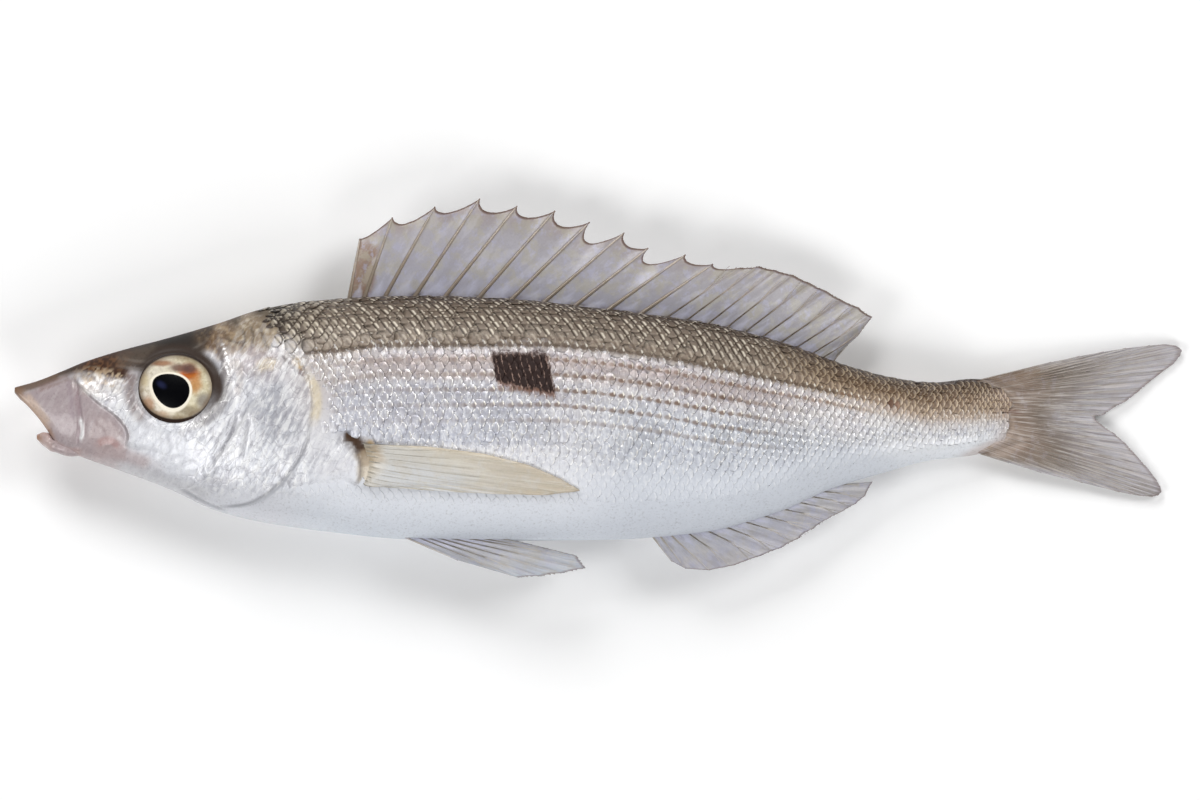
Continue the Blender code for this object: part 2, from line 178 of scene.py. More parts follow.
def softNoise(x, y, layer=0):
    # smooth bumps one unit across, from 0 to 1
    lattice = latticeOfChance[layer]
    column, row = np.floor(x).astype(int), np.floor(y).astype(int)
    s, t = smoothStep(x - column), smoothStep(y - row)
    low = lattice[row % 128, column % 128] * (1 - s) + lattice[row % 128, (column + 1) % 128] * s
    high = lattice[(row + 1) % 128, column % 128] * (1 - s) + lattice[(row + 1) % 128, (column + 1) % 128] * s
    return low * (1 - t) + high * t


def columns(*values):
    return np.column_stack(np.broadcast_arrays(*values)).astype(float)


def unit(vectors):
    return vectors / np.maximum(np.linalg.norm(vectors, axis=1, keepdims=True), 1e-12)


# The form of the body
def stationCurve(stations, column, scale=1.0):
    return curveThrough([row[0] for row in stations], [row[column] * scale for row in stations])


bodyForm = [stationCurve(bodyStations, 1), stationCurve(bodyStations, 2)]
bodyForm.append(stationCurve(bodyStations, 3, fishSize["halfWidth"]))
jawForm = [stationCurve(jawStations, 1), stationCurve(jawStations, 2)]
jawForm.append(stationCurve(jawStations, 3, fishSize["halfWidth"]))
lateralAt = curveThrough(*zip(*lateralLine))


def middleHeight(along):
    # the middle plane's height over the floor: level in the trunk, sinking along the tail
    trunkZ = fishSize["halfWidth"] - fishSize["flatDepth"]
    droop = smoothStep((along - fishSize["droopStart"]) / (fishSize["length"] - fishSize["droopStart"]))
    return trunkZ + (fishSize["tailEndZ"] - trunkZ) * droop


def pressed(z):
    # heights in metres, kept softly above the floor
    soft = fishSize["floorSoftness"] * 0.001
    return soft * np.logaddexp(0, z / soft)


def placed(along, up, out):
    # a place of the fish in the frame, in metres
    spot = columns(along - fishSize["length"] / 2, up - fishSize["level"], out + middleHeight(along)) * 0.001
    spot[:, 2] = pressed(spot[:, 2])
    return spot


def formPoint(form, along, angle):
    # the skin round a section: 0 is the left flank, a quarter turn is the back
    back, belly, width = (curve(along) for curve in form)
    power = 2 / fishSize["sectionPower"]
    middle = belly + fishSize["widestShare"] * (back - belly)
    reach = np.where(np.sin(angle) > 0, back, belly) - middle
    up = middle + reach * np.abs(np.sin(angle)) ** power
    out = width * np.copysign(np.abs(np.cos(angle)) ** power, np.cos(angle))
    return columns(along, up, out)


def formNormal(form, along, angle):
    ahead = formPoint(form, along + 0.1, angle) - formPoint(form, along - 0.1, angle)
    turn = formPoint(form, along, angle + 0.02) - formPoint(form, along, angle - 0.02)
    return unit(np.cross(ahead, turn))


def angleAt(along, up):
    back, belly = bodyForm[0](along), bodyForm[1](along)
    middle = belly + fishSize["widestShare"] * (back - belly)
    asked = np.abs(up - middle) / np.abs(np.where(up > middle, back, belly) - middle)
    limit, ease = fishSize["skinLimit"], fishSize["skinEase"]
    share = np.minimum(asked, limit) + ease * np.tanh(np.maximum(asked - limit, 0) / ease)
    return np.copysign(np.arcsin(share ** (fishSize["sectionPower"] / 2)), up - middle)


def skinPoint(along, up, side, lift):
    angle = angleAt(along, up)
    spot = formPoint(bodyForm, along, angle) + formNormal(bodyForm, along, angle) * np.reshape(lift, (-1, 1))
    return spot * (1, 1, side)


# Meshes
def newMesh(name, points, faces, material, values=None, smooth=True):
    mesh = bpy.data.meshes.new(name)
    mesh.from_pydata(points.tolist(), [], faces if isinstance(faces, list) else faces.tolist())
    mesh.materials.append(material)
    mesh.polygons.foreach_set("use_smooth", np.full(len(mesh.polygons), smooth))
    for key, data in (values or {}).items():
        setValue(mesh, key, data)
    mesh.update()
    piece = bpy.data.objects.new(name, mesh)
    bpy.context.scene.collection.objects.link(piece)
    return piece


def setValue(mesh, name, data):
    # a value for each point, read by the materials: a number, a vector or a colour
    data = np.asarray(data, np.float32)
    kinds = {1: ("FLOAT", "value"), 3: ("FLOAT_VECTOR", "vector"), 4: ("FLOAT_COLOR", "color")}
    kind, field = kinds[1 if data.ndim == 1 else data.shape[1]]
    attribute = mesh.attributes.get(name) or mesh.attributes.new(name, kind, "POINT")
    attribute.data.foreach_set(field, data.ravel())


def getValue(mesh, name, width):
    data = np.zeros(len(mesh.vertices) * width, np.float32)
    mesh.attributes[name].data.foreach_get({1: "value", 3: "vector", 4: "color"}[width], data)
    return data.reshape(-1, width) if width > 1 else data


def meshPoints(mesh):
    spots = np.zeros(len(mesh.vertices) * 3, np.float32)
    mesh.vertices.foreach_get("co", spots)
    return spots.reshape(-1, 3).astype(float)


def setMap(mesh, spots):
    # the map, one place for each corner of each face
    layer = mesh.uv_layers.new(name="OFBake")
    layer.data.foreach_set("uv", np.asarray(spots, np.float32).ravel())


def loopPoints(mesh):
    corners = np.zeros(len(mesh.loops), np.int32)
    mesh.loops.foreach_get("vertex_index", corners)
    return corners


def finishPiece(piece, node):
    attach(piece, "root")
    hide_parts(node)
    print(f"{piece.name}: {sum(len(face.vertices) - 2 for face in piece.data.polygons)} triangles")
    return piece


# Colour that is laid on along given paths
def ramp(value, stops):
    places = [stop[0] for stop in stops]
    colours = np.array([linear(*stop[1]) for stop in stops])
    return np.column_stack([np.interp(value, places, colours[:, i]) for i in range(3)])


def newCoat(along, up, colour, metal, rough, foil):
    coat = {"along": along, "up": up, "colour": np.array(colour, float)}
    for key, value in (("metal", metal), ("rough", rough), ("foil", foil)):
        coat[key] = np.broadcast_to(np.asarray(value, float), along.shape).copy()
    return coat


def brush(coat, path, width, soft, colour=None, strength=1.0, flecks=0.0, fleckSize=0.5, **finish):
    # lays a colour or a finish along a path, soft at its sides; flecks leaves gaps in it
    path = evenCurve(path, 24 if len(path) > 2 else len(path))
    low, high = path.min(axis=0) - width - soft, path.max(axis=0) + width + soft
    spots = columns(coat["along"], coat["up"])
    near = np.all((spots > low) & (spots < high), axis=1)
    if not near.any():
        return
    along, up = spots[near].T
    distance, _, share = fieldOf(along, up, path)
    ends = 1.0 if len(path) == 1 else 0.25 + 0.75 * smoothStep(share / 0.15) * smoothStep((1 - share) / 0.15)
    mask = strength * ends * (1 - smoothStep((distance - width / 2) / soft))
    if flecks:
        chance = softNoise(along / fleckSize + 40, up / fleckSize + 40, 1)
        mask = mask * (1 - flecks + flecks * between(chance, 0.45, 0.7))
    layOn(coat, near, mask, colour, **finish)


def layOn(coat, near, mask, colour=None, **finish):
    if colour:
        coat["colour"][near] += (linear(*colour) - coat["colour"][near]) * mask[:, None]
    for key, value in finish.items():
        coat[key][near] += (value - coat[key][near]) * mask


def coatValues(coat):
    count = len(coat["along"])
    return {
        "paint": np.column_stack([coat["colour"], np.ones(count)]),
        "finish": columns(coat["metal"], coat["rough"], coat["foil"]),
    }


# Materials
class Socket:
    # an output of a node, so that shader maths reads as plain arithmetic
    def __init__(self, nodes, socket):
        self.nodes, self.socket = nodes, socket

    def maths(self, operation, first, second=0.0, clamp=False):
        settings = {"operation": operation, "use_clamp": clamp}
        return self.nodes.add("ShaderNodeMath", settings, {0: first, 1: second})

    def __add__(self, other):
        return self.maths("ADD", self, other)

    def __radd__(self, other):
        return self.maths("ADD", other, self)

    def __sub__(self, other):
        return self.maths("SUBTRACT", self, other)

    def __rsub__(self, other):
        return self.maths("SUBTRACT", other, self)

    def __mul__(self, other):
        return self.maths("MULTIPLY", self, other)

    def __rmul__(self, other):
        return self.maths("MULTIPLY", other, self)

    def __truediv__(self, other):
        return self.maths("DIVIDE", self, other)

    def __pow__(self, other):
        return self.maths("POWER", self, other)

    def __abs__(self):
        return self.maths("ABSOLUTE", self)

    def clamped(self):
        return self.maths("ADD", self, 0.0, clamp=True)

    def larger(self, other):
        return self.maths("MAXIMUM", self, other)


class Nodes:
    # the nodes of one material
    def __init__(self, name, **constants):
        self.material = bpy.data.materials.new(name)
        self.material.use_nodes = True
        self.tree = self.material.node_tree
        self.shader = self.tree.nodes["Principled BSDF"]
        for key, value in constants.items():
            self.shader.inputs[key].default_value = value

    def add(self, kind, settings=None, inputs=None, output=0):
        node = self.tree.nodes.new(kind)
        for key, value in (settings or {}).items():
            setattr(node, key, value)
        for key, value in (inputs or {}).items():
            self.join(value, node.inputs[key])
        return Socket(self, node.outputs[output])

    def join(self, value, socket):
        if isinstance(value, Socket):
            self.tree.links.new(value.socket, socket)
        else:
            socket.default_value = value

    def finish(self, **values):
        for key, value in values.items():
            self.join(value, self.shader.inputs[key.replace("_", " ")])
        return self.material

    def number(self, name):
        return self.add("ShaderNodeAttribute", {"attribute_name": name}, output="Fac")

    def colour(self, name):
        return self.add("ShaderNodeAttribute", {"attribute_name": name}, output="Color")

    def parts(self, name):
        vector = self.add("ShaderNodeAttribute", {"attribute_name": name}, output="Vector")
        return [self.add("ShaderNodeSeparateXYZ", None, {0: vector}, output=i) for i in range(3)]

    def place(self, x=1.0, y=1.0, z=1.0):
        # object coordinates in millimetres, stretched along each axis
        spot = self.add("ShaderNodeTexCoord", output="Object")
        stretch = (1000 * x, 1000 * y, 1000 * z)
        return self.add("ShaderNodeVectorMath", {"operation": "MULTIPLY"}, {0: spot, 1: stretch})

    def onFish(self):
        # along and up, in the units that the fish is worked out in
        place = self.place()
        x, y = (self.add("ShaderNodeSeparateXYZ", None, {0: place}, output=i) for i in range(2))
        return x + fishSize["length"] / 2, y + fishSize["level"]

    def noise(self, place, scale, detail=2.0, rough=0.5):
        inputs = {"Vector": place, "Scale": scale, "Detail": detail, "Roughness": rough}
        return self.add("ShaderNodeTexNoise", None, inputs, output="Fac")

    def turned(self, place, angle):
        inputs = {"Vector": place, "Angle": math.radians(angle)}
        return self.add("ShaderNodeVectorRotate", {"rotation_type": "Z_AXIS"}, inputs)

    def stretched(self, place, x, y, z):
        return self.add("ShaderNodeVectorMath", {"operation": "MULTIPLY"}, {0: place, 1: (x, y, z)})

    def vector(self, x, y, z=0.0):
        return self.add("ShaderNodeCombineXYZ", None, {0: x, 1: y, 2: z})

    def fraction(self, value):
        return self.add("ShaderNodeMath", {"operation": "FRACT"}, {0: value})

    def cells(self, place, scale, feature="DISTANCE_TO_EDGE"):
        return self.add("ShaderNodeTexVoronoi", {"feature": feature}, {"Vector": place, "Scale": scale})

    def step(self, value, low, high):
        settings = {"interpolation_type": "SMOOTHSTEP"}
        inputs = {"Value": value, "From Min": low, "From Max": high}
        return self.add("ShaderNodeMapRange", settings, inputs)

    def mix(self, share, first, second, blend="MIX"):
        settings = {"data_type": "RGBA", "blend_type": blend, "clamp_factor": True}
        return self.add("ShaderNodeMix", settings, {0: share, 6: first, 7: second}, output=2)

    def shade(self, *colour):
        return (*linear(*colour), 1.0)

    def tint(self, tone, share, *colour, blend="MIX"):
        # a colour laid over a tone, as strong as share says
        return self.mix(share, tone, self.shade(*colour), blend)

    def bump(self, height, strength=1.0, under=None):
        # heights in millimetres
        inputs = {"Height": height, "Distance": 0.001, "Strength": strength}
        if under is not None:
            inputs["Normal"] = under
        return self.add("ShaderNodeBump", None, inputs)


# Wet skin of the head and of the body under the scales
skinLook = {
    "coat": 0.35,
    "coatRoughness": 0.12,
    "foilDepth": 0.05,
    "poreDepth": 0.012,
}


def makeSkinMaterial():
    constants = {"Coat Roughness": skinLook["coatRoughness"], "Specular IOR Level": 0.25}
    nodes = Nodes("wetSkin", **constants)
    metal, rough, foil = nodes.parts("finish")
    base = nodes.colour("paint")
    leaning = nodes.turned(nodes.place(), -60.0)
    cloud = nodes.noise(nodes.place(), 0.35, 3.0)
    grain = nodes.noise(nodes.place(), 2.6, 4.0, 0.65)
    fold = nodes.noise(nodes.stretched(leaning, 0.42, 1.8, 1.0), 0.9, 2.0, 0.5)
    patch = nodes.noise(nodes.place(1.0, 0.8, 1.0), 1.2, 2.5, 0.5)
    crackle = nodes.cells(nodes.stretched(leaning, 0.5, 1.1, 1.0), 0.9)
    tinted = nodes.tint(base, (cloud - 0.48) * foil * 1.2, 196, 190, 196)
    # painted highlights where the bump raises the foil's wrinkles, and painted shade where it sinks them
    tinted = nodes.tint(tinted, foil * nodes.step(fold, 0.50, 0.62) * 0.55, 255, 255, 255)
    tinted = nodes.tint(tinted, foil * nodes.step(1 - fold, 0.53, 0.66) * 0.42, 146, 146, 156)
    tinted = nodes.tint(tinted, foil * nodes.step(1 - patch, 0.52, 0.66) * 0.34, 156, 153, 160)
    tinted = nodes.tint(tinted, foil * nodes.step(patch, 0.54, 0.66) * 0.34, 255, 254, 252)
    # painted shade: darker lines in the cracks between the foil's facets, which the bump sinks
    tinted = nodes.tint(tinted, foil * (1 - nodes.step(crackle, 0.0, 0.035)) * 0.4, 116, 112, 120)
    tinted = nodes.tint(tinted, (1 - foil) * nodes.step(grain, 0.5, 0.75) * 0.3, 96, 82, 74, blend="MULTIPLY")
    wrinkle = (fold + patch * 0.8) * foil * skinLook["foilDepth"] * 2.0
    facets = nodes.step(crackle, 0.0, 0.12) * foil * skinLook["foilDepth"] * 0.7
    pores = nodes.noise(nodes.place(), 7.0, 2.0) * skinLook["poreDepth"]
    return nodes.finish(
        Base_Color=tinted,
        Metallic=(metal * (0.8 + grain * 0.4)).clamped(),
        Roughness=(rough + (grain - 0.5) * 0.1).clamped(),
        Coat_Weight=skinLook["coat"] * (1 - nodes.step(rough, 0.38, 0.52)),
        Normal=nodes.bump(wrinkle + facets + pores),
    )


# The head: plates, folds and the shoulder, as paths on the side of the head
headForm = {
    "eye": (24.2, 1.8),
    "eyeRadii": (6.1, 5.35, 1.9),
    "eyeDepth": 0.8,
    "irisRadii": (5.55, 4.85),
    "socketDip": 1.5,
    "rimHeight": 0.16,
    "beadCount": 24,
    "beadHeight": 0.14,
    "foldDepth": 0.2,
    "wrinkleHeight": 0.07,
    "lipHeight": 0.22,
    "mouthDepth": 1.3,
    "creaseDepth": 0.14,
    "pit": (52.6, -7.2),
    "pitRadii": (1.7, 1.6),
    "pitDepth": 0.35,
}
gillEdge = ((40.2, 7.6), (43.4, 4.6), (44.4, 1.6), (44.5, -2.7), (43.7, -7.0), (41.0, -11.1), (37.8, -14.1),
            (34.6, -15.6), (30.4, -16.0))
foreGillEdge = ((31.2, 7.0), (33.3, 0.5), (32.6, -5.0), (30.0, -10.4), (25.8, -13.0), (18.5, -11.5))
cheekEdge = ((9.2, 4.2), (9.3, 2.9), (10.2, 2.0), (12.4, 0.0), (14.7, -1.7), (16.4, -3.3), (17.3, -5.1),
             (17.0, -7.2))
jawFold = ((9.2, 4.2), (9.6, 0.0), (10.0, -3.6), (9.5, -7.0))
lobeEdge = ((48.9, -5.7), (50.9, -7.5), (51.9, -9.3), (51.9, -11.4), (51.1, -12.8))
cheekCreases = (
    ((36.0, 0.2), (32.8, -5.0), (29.4, -10.3)),
    ((35.3, -2.7), (34.9, -5.4), (34.3, -8.2)),
    ((33.6, -2.3), (32.6, -5.2), (30.9, -8.2)),
)
napeCreases = (
    ((34.2, 10.8), (34.6, 9.0), (33.9, 7.4)),
    ((35.4, 11.2), (35.9, 9.4), (35.4, 7.6)),
    ((36.9, 10.9), (37.6, 8.8), (38.6, 6.9)),
    ((31.8, 9.3), (33.4, 8.6), (35.0, 8.8)),
    ((37.3, 7.0), (38.6, 5.8), (39.8, 6.4)),
)
beadPath = ((31.3, 8.3), (32.2, 5.2), (32.0, 2.0), (30.7, -1.0), (28.4, -3.0), (25.6, -4.0))
throatFold = ((25.2, -13.4), (28.4, -15.2), (31.6, -16.6))
lipPath = ((0.3, 1.2), (2.2, -1.2), (4.9, -4.4), (5.8, -6.3))
# the edge of each plate, the side of the edge that the plate is on, its height and how far it fades
headPlates = (
    (gillEdge, -1, 0.5, 3.6),
    (foreGillEdge, -1, 0.3, 1.7),
    (cheekEdge, 1, 0.42, 2.2),
    (lobeEdge, -1, 0.75, 1.6),
)


def plateLift(along, up, edge, inside, height, fade, trough=0.05):
    # a plate that rises towards its edge and drops off behind it
    distance, side, share = fieldOf(along, up, evenCurve(edge, 40))
    signed = np.where(side == inside, distance, -distance)
    ends = smoothStep(share / 0.08) * smoothStep((1 - share) / 0.08)
    lift = np.where(signed > 0, np.exp(-signed / fade), 1 - smoothStep(-signed / 0.32))
    return ends * (height * lift - trough * bell(signed, -0.42, 0.28)), signed


def eyeRing(along, up):
    # how far a place is from the middle of the eye, 1 at the edge of the iris
    (x, y), (wide, high) = headForm["eye"], headForm["irisRadii"]
    return np.hypot((along - x) / wide, (up - y) / high)


def headLift(along, up):
    lift = np.zeros(len(along))
    for edge, inside, height, fade in headPlates:
        lift += plateLift(along, up, edge, inside, height, fade)[0]
    for path in (*cheekCreases, jawFold, throatFold):
        distance = fieldOf(along, up, evenCurve(path, 16))[0]
        lift -= headForm["foldDepth"] * bell(distance, 0.0, 0.22)
        lift += headForm["foldDepth"] * 0.6 * bell(distance, 0.6, 0.35)
    for path in napeCreases:
        lift -= headForm["creaseDepth"] * bell(fieldOf(along, up, evenCurve(path, 12))[0], 0.0, 0.2)
    for spot in evenCurve(beadPath, headForm["beadCount"]):
        gap = ((along - spot[0]) ** 2 + (up - spot[1]) ** 2) / 0.26**2
        lift += headForm["beadHeight"] * np.exp(-gap)
    # thin folded skin of the cheek and of the gill cover
    folds = np.abs(softNoise(along * 1.1 + up * 0.3, up * 0.7 - along * 0.2, 0) - 0.5)
    folds += 0.5 * np.abs(softNoise(along * 2.4, up * 1.7 + along * 0.8, 2) - 0.5)
    silver = within(along, (11, 15), (42, 46)) * between(6.5 - up, 0.0, 2.0) * between(up, -14.5, -11)
    lift += headForm["wrinkleHeight"] * (1 - 2.2 * folds) * silver
    lift += headForm["lipHeight"] * bell(fieldOf(along, up, evenCurve(lipPath, 16))[0], 0.0, 0.42)
    (x, y), (wide, high) = headForm["pit"], headForm["pitRadii"]
    lift -= headForm["pitDepth"] * (1 - smoothStep(np.hypot((along - x) / wide, (up - y) / high)))
    # the socket: a rim round the eye, and a dip that the ball stands in
    ring = eyeRing(along, up)
    lift = lift * between(ring, 0.95, 1.3)
    lift += headForm["rimHeight"] * bell(ring, 1.1, 0.07)
    lift -= 0.12 * bell(ring, 1.26, 0.08)
    return lift - headForm["socketDip"] * (1 - between(ring, 0.82, 1.03))


# Colours of the side, from the belly (-1) over the lateral line (0) to the back (1)
sideLooks = {
    "trunk": ((-1.0, (216, 222, 231)), (-0.7, (229, 231, 237)), (-0.45, (230, 229, 232)),
              (-0.22, (206, 199, 198)), (-0.07, (198, 189, 184)), (0.0, (142, 127, 113)),
              (0.3, (144, 131, 118)), (0.75, (122, 107, 93)), (1.0, (84, 69, 56))),
    "tail": ((-1.0, (228, 232, 238)), (-0.42, (236, 237, 240)), (-0.24, (228, 224, 222)),
             (-0.1, (198, 178, 160)), (0.0, (180, 157, 136)), (0.4, (122, 95, 69)), (1.0, (50, 31, 18))),
    "head": ((-1.0, (216, 218, 225)), (-0.5, (236, 237, 242)), (0.0, (236, 236, 241)),
             (0.5, (206, 198, 194)), (1.0, (172, 158, 142))),
    "crown": ((0.0, (78, 64, 54)), (0.5, (50, 40, 33)), (1.0, (34, 27, 22))),
    "crownDepth": 4.0,
    "paleBands": ((1.15, 0.8), (3.45, 0.7), (5.75, 0.5)),  # depth under the lateral line, and strength
    "bandWidth": 0.5,
}
# The edge of the dark crown of the head
darkEdge = curveThrough(
    (0.0, 6.0, 12.7, 16.0, 18.7, 24.7, 28.2, 30.7, 36.0, 40.0, 45.5),
    (1.3, 3.0, 4.6, 4.8, 4.2, 5.2, 6.8, 8.8, 10.8, 9.6, 8.2),
)


# The scales' pitch along a row and from row to row, the shape of one, and the rows on each side of the line
scaleSize = {
    "pitch": 1.38,
    "rowPitch": 1.15,
    "length": 2.15,
    "width": 2.5,
    "lift": 0.10,
    "crown": 0.06,
    "exposed": 1.3,
    "rowsUnder": 34,
    "rowsOver": 17,
    "tilt": 3.5,
    "seed": 7,
}


def scaleFactor(along):
    # how small the scales are, compared with those of the trunk
    return (1 - 0.3 * between(along, 96.0, 140.0)) * (1 - 0.22 * between(along, 139.0, 149.0))


# Where the scales begin behind the head, and where they end on the tail, by height
scaleStart = curveThrough(
    (-22.0, -19.5, -17.5, -15.6, -14.1, -11.1, -7.0, -2.7, 0.5, 3.0, 5.2, 7.6, 9.0, 11.0, 14.0, 16.0),
    (33.0, 33.4, 35.0, 36.0, 38.8, 42.0, 45.0, 46.2, 46.4, 45.9, 44.2, 41.4, 38.9, 37.6, 37.2, 37.0),
)
fleshEnd = curveThrough(
    (-9.0, -8.3, -7.5, -6.6, -5.6, -3.0, -1.9, -0.75, 1.5, 3.0, 4.0),
    (143.4, 144.0, 145.4, 147.2, 149.2, 149.9, 149.1, 150.5, 148.5, 144.8, 143.6),
)


def sideColour(along, up):
    back, belly, line = bodyForm[0](along), bodyForm[1](along), lateralAt(along)
    room = np.where(up > line, back - line, line - belly)
    share = np.clip((up - line) / np.maximum(room, 0.5), -1, 1)
    trunk, tail, head = (ramp(share, sideLooks[name]) for name in ("trunk", "tail", "head"))
    colour = trunk + (tail - trunk) * between(along, 108.0, 130.0)[:, None]
    overEdge = up - darkEdge(along)
    crown = ramp(np.clip(overEdge / sideLooks["crownDepth"], 0, 1), sideLooks["crown"])
    head = head + (crown - head) * between(overEdge, -0.7, 0.9)[:, None]
    colour = colour + (head - colour) * (1 - between(along, 38.0, 46.0))[:, None]
    below = line - up
    pinkish = between(softNoise(along * 0.16 + 9, up * 0.3, 3), 0.45, 0.8) * between(up, -8.0, -3.0)
    pinkish = pinkish * between(below, 0.3, 2.0) * between(along, 46.0, 52.0)
    bluish = between(below, 4.6, 6.4) * between(up, -7.5, -6.0) * within(along, (46.0, 50.0), (72.0, 92.0))
    bands = sum(strength * bell(below / scaleFactor(along), depth, sideLooks["bandWidth"])
                for depth, strength in sideLooks["paleBands"])
    bands = bands * within(along, (47.0, 56.0), (122.0, 136.0))
    rear = between(below, 5.0, 9.0) * within(along, (80.0, 95.0), (126.0, 140.0))
    under = bell(below, 1.8, 1.0) * within(along, (52.0, 60.0), (116.0, 128.0))
    stop = fleshEnd(np.clip(up, -9.0, 4.0))
    frayed = between(along, stop - 3.4, stop - 0.4) * (1 - between(up, 0.6, 2.6))
    # the lateral line: a dark line, dotted at the pitch of the scales, and brownish above
    dots = 0.72 + 0.28 * np.cos(2 * math.pi * along / (scaleSize["pitch"] * scaleFactor(along)))
    seam = bell(-below, 0.0, 0.42) * dots * within(along, (44.0, 52.0), (126.0, 138.0))
    brownish = bell(-below, 0.75, 0.5) * between(along, 44.0, 52.0)
    for mask, strength, tone in (
        (pinkish, 0.12, (212, 184, 182)),
        (bluish, 0.5, (184, 190, 206)),
        (bands, 0.6, (238, 239, 246)),
        (rear, 0.8, (204, 209, 218)),
        (under, 0.45, (178, 164, 164)),
        (frayed, 0.5, (178, 152, 138)),
        (seam, 0.6, (108, 92, 78)),
        (brownish, 0.25, (128, 110, 92)),
    ):
        colour = colour + (linear(*tone) - colour) * mask[:, None] * strength
    return colour


def paintHead(coat):
    along, up = coat["along"], coat["up"]
    everywhere = np.ones(len(along), bool)
    # silver of the cheek and the gill cover
    underEdge = darkEdge(along) - up
    silver = within(along, (9.0, 14.0), (43.0, 46.5)) * between(underEdge, -0.4, 1.2)
    silver = silver * between(up, -15.5, -12.0)
    layOn(coat, everywhere, silver, metal=0.16, rough=0.39, foil=1.0)
    crown = between(-underEdge, -0.6, 0.6) * (1 - between(along, 38.0, 46.0))
    layOn(coat, everywhere, crown, metal=0.0, rough=0.6, foil=0.0)
    brush(coat, ((15.5, -7.5), (20.0, -7.0), (24.0, -9.0), (27.5, -12.0)), 3.6, 3.0, foil=0.3)
    brush(coat, ((17.5, -3.6), (21.0, -5.4), (24.0, -6.2)), 1.6, 1.6, foil=0.4)
    # the jaws ahead of the cheek plate, and the pale throat
    _, signed = plateLift(along, up, cheekEdge, 1, 1.0, 1.0)
    jaws = between(-signed, -0.1, 0.35) * (1 - between(along, 15.0, 21.0)) * between(underEdge, 0.0, 0.9)
    layOn(coat, everywhere, jaws, (172, 158, 160), metal=0.05, rough=0.36, foil=0.12)
    brush(coat, ((11.5, -7.2), (16.0, -9.0), (20.5, -10.8)), 2.4, 1.6, (190, 172, 172), 0.75, metal=0.1,
          foil=0.1)
    brush(coat, ((14.0, -10.4), (22.0, -12.8), (30.0, -15.4)), 2.2, 1.4, (203, 203, 207), 0.85, metal=0.1,
          foil=0.1)
    # jaw details
    brush(coat, ((0.2, 1.5), (3.0, 2.3), (7.0, 3.9)), 0.7, 0.6, (104, 80, 62), 0.9)
    brush(coat, ((0.4, 1.2),), 0.9, 0.9, (116, 84, 58), 0.9)
    brush(coat, lipPath, 0.5, 0.6, (150, 118, 92), 0.75)
    brush(coat, ((1.4, 0.9), (3.0, -0.9), (5.2, -3.8)), 0.5, 0.8, (208, 184, 164), 0.7)
    brush(coat, ((3.4, 1.5), (6.0, 2.6), (8.6, 3.6)), 0.5, 0.5, (132, 104, 96), 0.6)
    # painted shade along the jaw's fold
    brush(coat, jawFold, 0.3, 0.5, (150, 128, 134), 0.6)
    brush(coat, ((8.2, 3.0), (8.6, -0.5), (8.9, -3.0)), 0.2, 0.5, (160, 142, 150), 0.5)
    # a painted glint: a thin white upright stroke on the maxilla
    brush(coat, ((9.9, -2.6), (10.25, -4.4), (10.0, -6.2)), 0.3, 0.25, (250, 250, 250), 0.95, rough=0.15)
    brush(coat, ((11.6, -3.6), (13.2, -4.6), (15.4, -6.6)), 2.6, 1.4, (164, 146, 145), 0.7)
    brush(coat, ((12.4, -6.6), (14.2, -6.0), (16.0, -7.0)), 0.5, 0.6, (176, 138, 134), 0.6)
    # a pale stroke at the maxilla's rear, a painted highlight
    brush(coat, ((15.6, -5.4), (16.4, -6.6)), 0.25, 0.4, (222, 214, 214), 0.5)
    # painted shade: a dark line along the cheek plate's raised edge
    brush(coat, cheekEdge, 0.12, 0.3, (128, 112, 112), 0.8)
    brush(coat, ((5.2, -6.2), (7.6, -7.6), (10.4, -8.0)), 0.6, 0.7, (178, 146, 140), 0.6)
    # golden flecks on the snout, and the bright cheek below them
    brush(coat, ((9.4, 5.2), (13.2, 5.4), (18.2, 5.0)), 3.4, 1.3, (58, 31, 15), 1.0, metal=0.0, rough=0.62,
          foil=0.0)
    brush(coat, ((10.0, 2.6), (13.0, 2.2), (16.4, 1.4)), 2.0, 1.2, (176, 162, 152), 0.7, foil=0.6)
    brush(coat, ((9.8, 3.6), (13.4, 3.4), (17.0, 2.6)), 1.8, 0.9, (206, 184, 154), 0.8, 1.0, 0.36,
          metal=0.3)
    brush(coat, ((9.8, 5.2), (14.0, 5.4), (18.0, 5.6)), 1.4, 0.8, (112, 76, 46), 0.7, 1.0, 0.34)
    brush(coat, ((10.6, 2.6), (13.4, 1.8), (17.0, 1.0)), 2.4, 1.0, (250, 246, 242), 0.95, 1.0, 0.42,
          metal=0.4)
    brush(coat, ((12.6, 1.0), (15.2, -0.4), (18.4, -2.0)), 1.8, 1.0, (252, 251, 254), 0.9, 0.8, 0.5,
          metal=0.4)
    # painted shade: purplish brown round the front of the eye's socket
    brush(coat, ((18.0, 4.6), (17.5, 1.6), (18.2, -1.2), (20.0, -3.2)), 0.5, 1.3, (128, 106, 100), 0.75,
          foil=0.5)
    # the crown: thin light and dark streaks along it
    for rise, tone in ((0.5, 122), (1.1, 62), (1.7, 112), (2.2, 58)):
        streak = [(x, float(darkEdge(x)) + rise - 0.2) for x in (15.5, 20.0, 25.0, 29.0)]
        brush(coat, streak, 0.16, 0.28, (tone, tone - 6, tone - 12), 0.7)
    brush(coat, ((15.0, 5.6), (18.4, 6.6), (22.0, 7.4)), 1.4, 1.0, (108, 94, 82), 0.45)
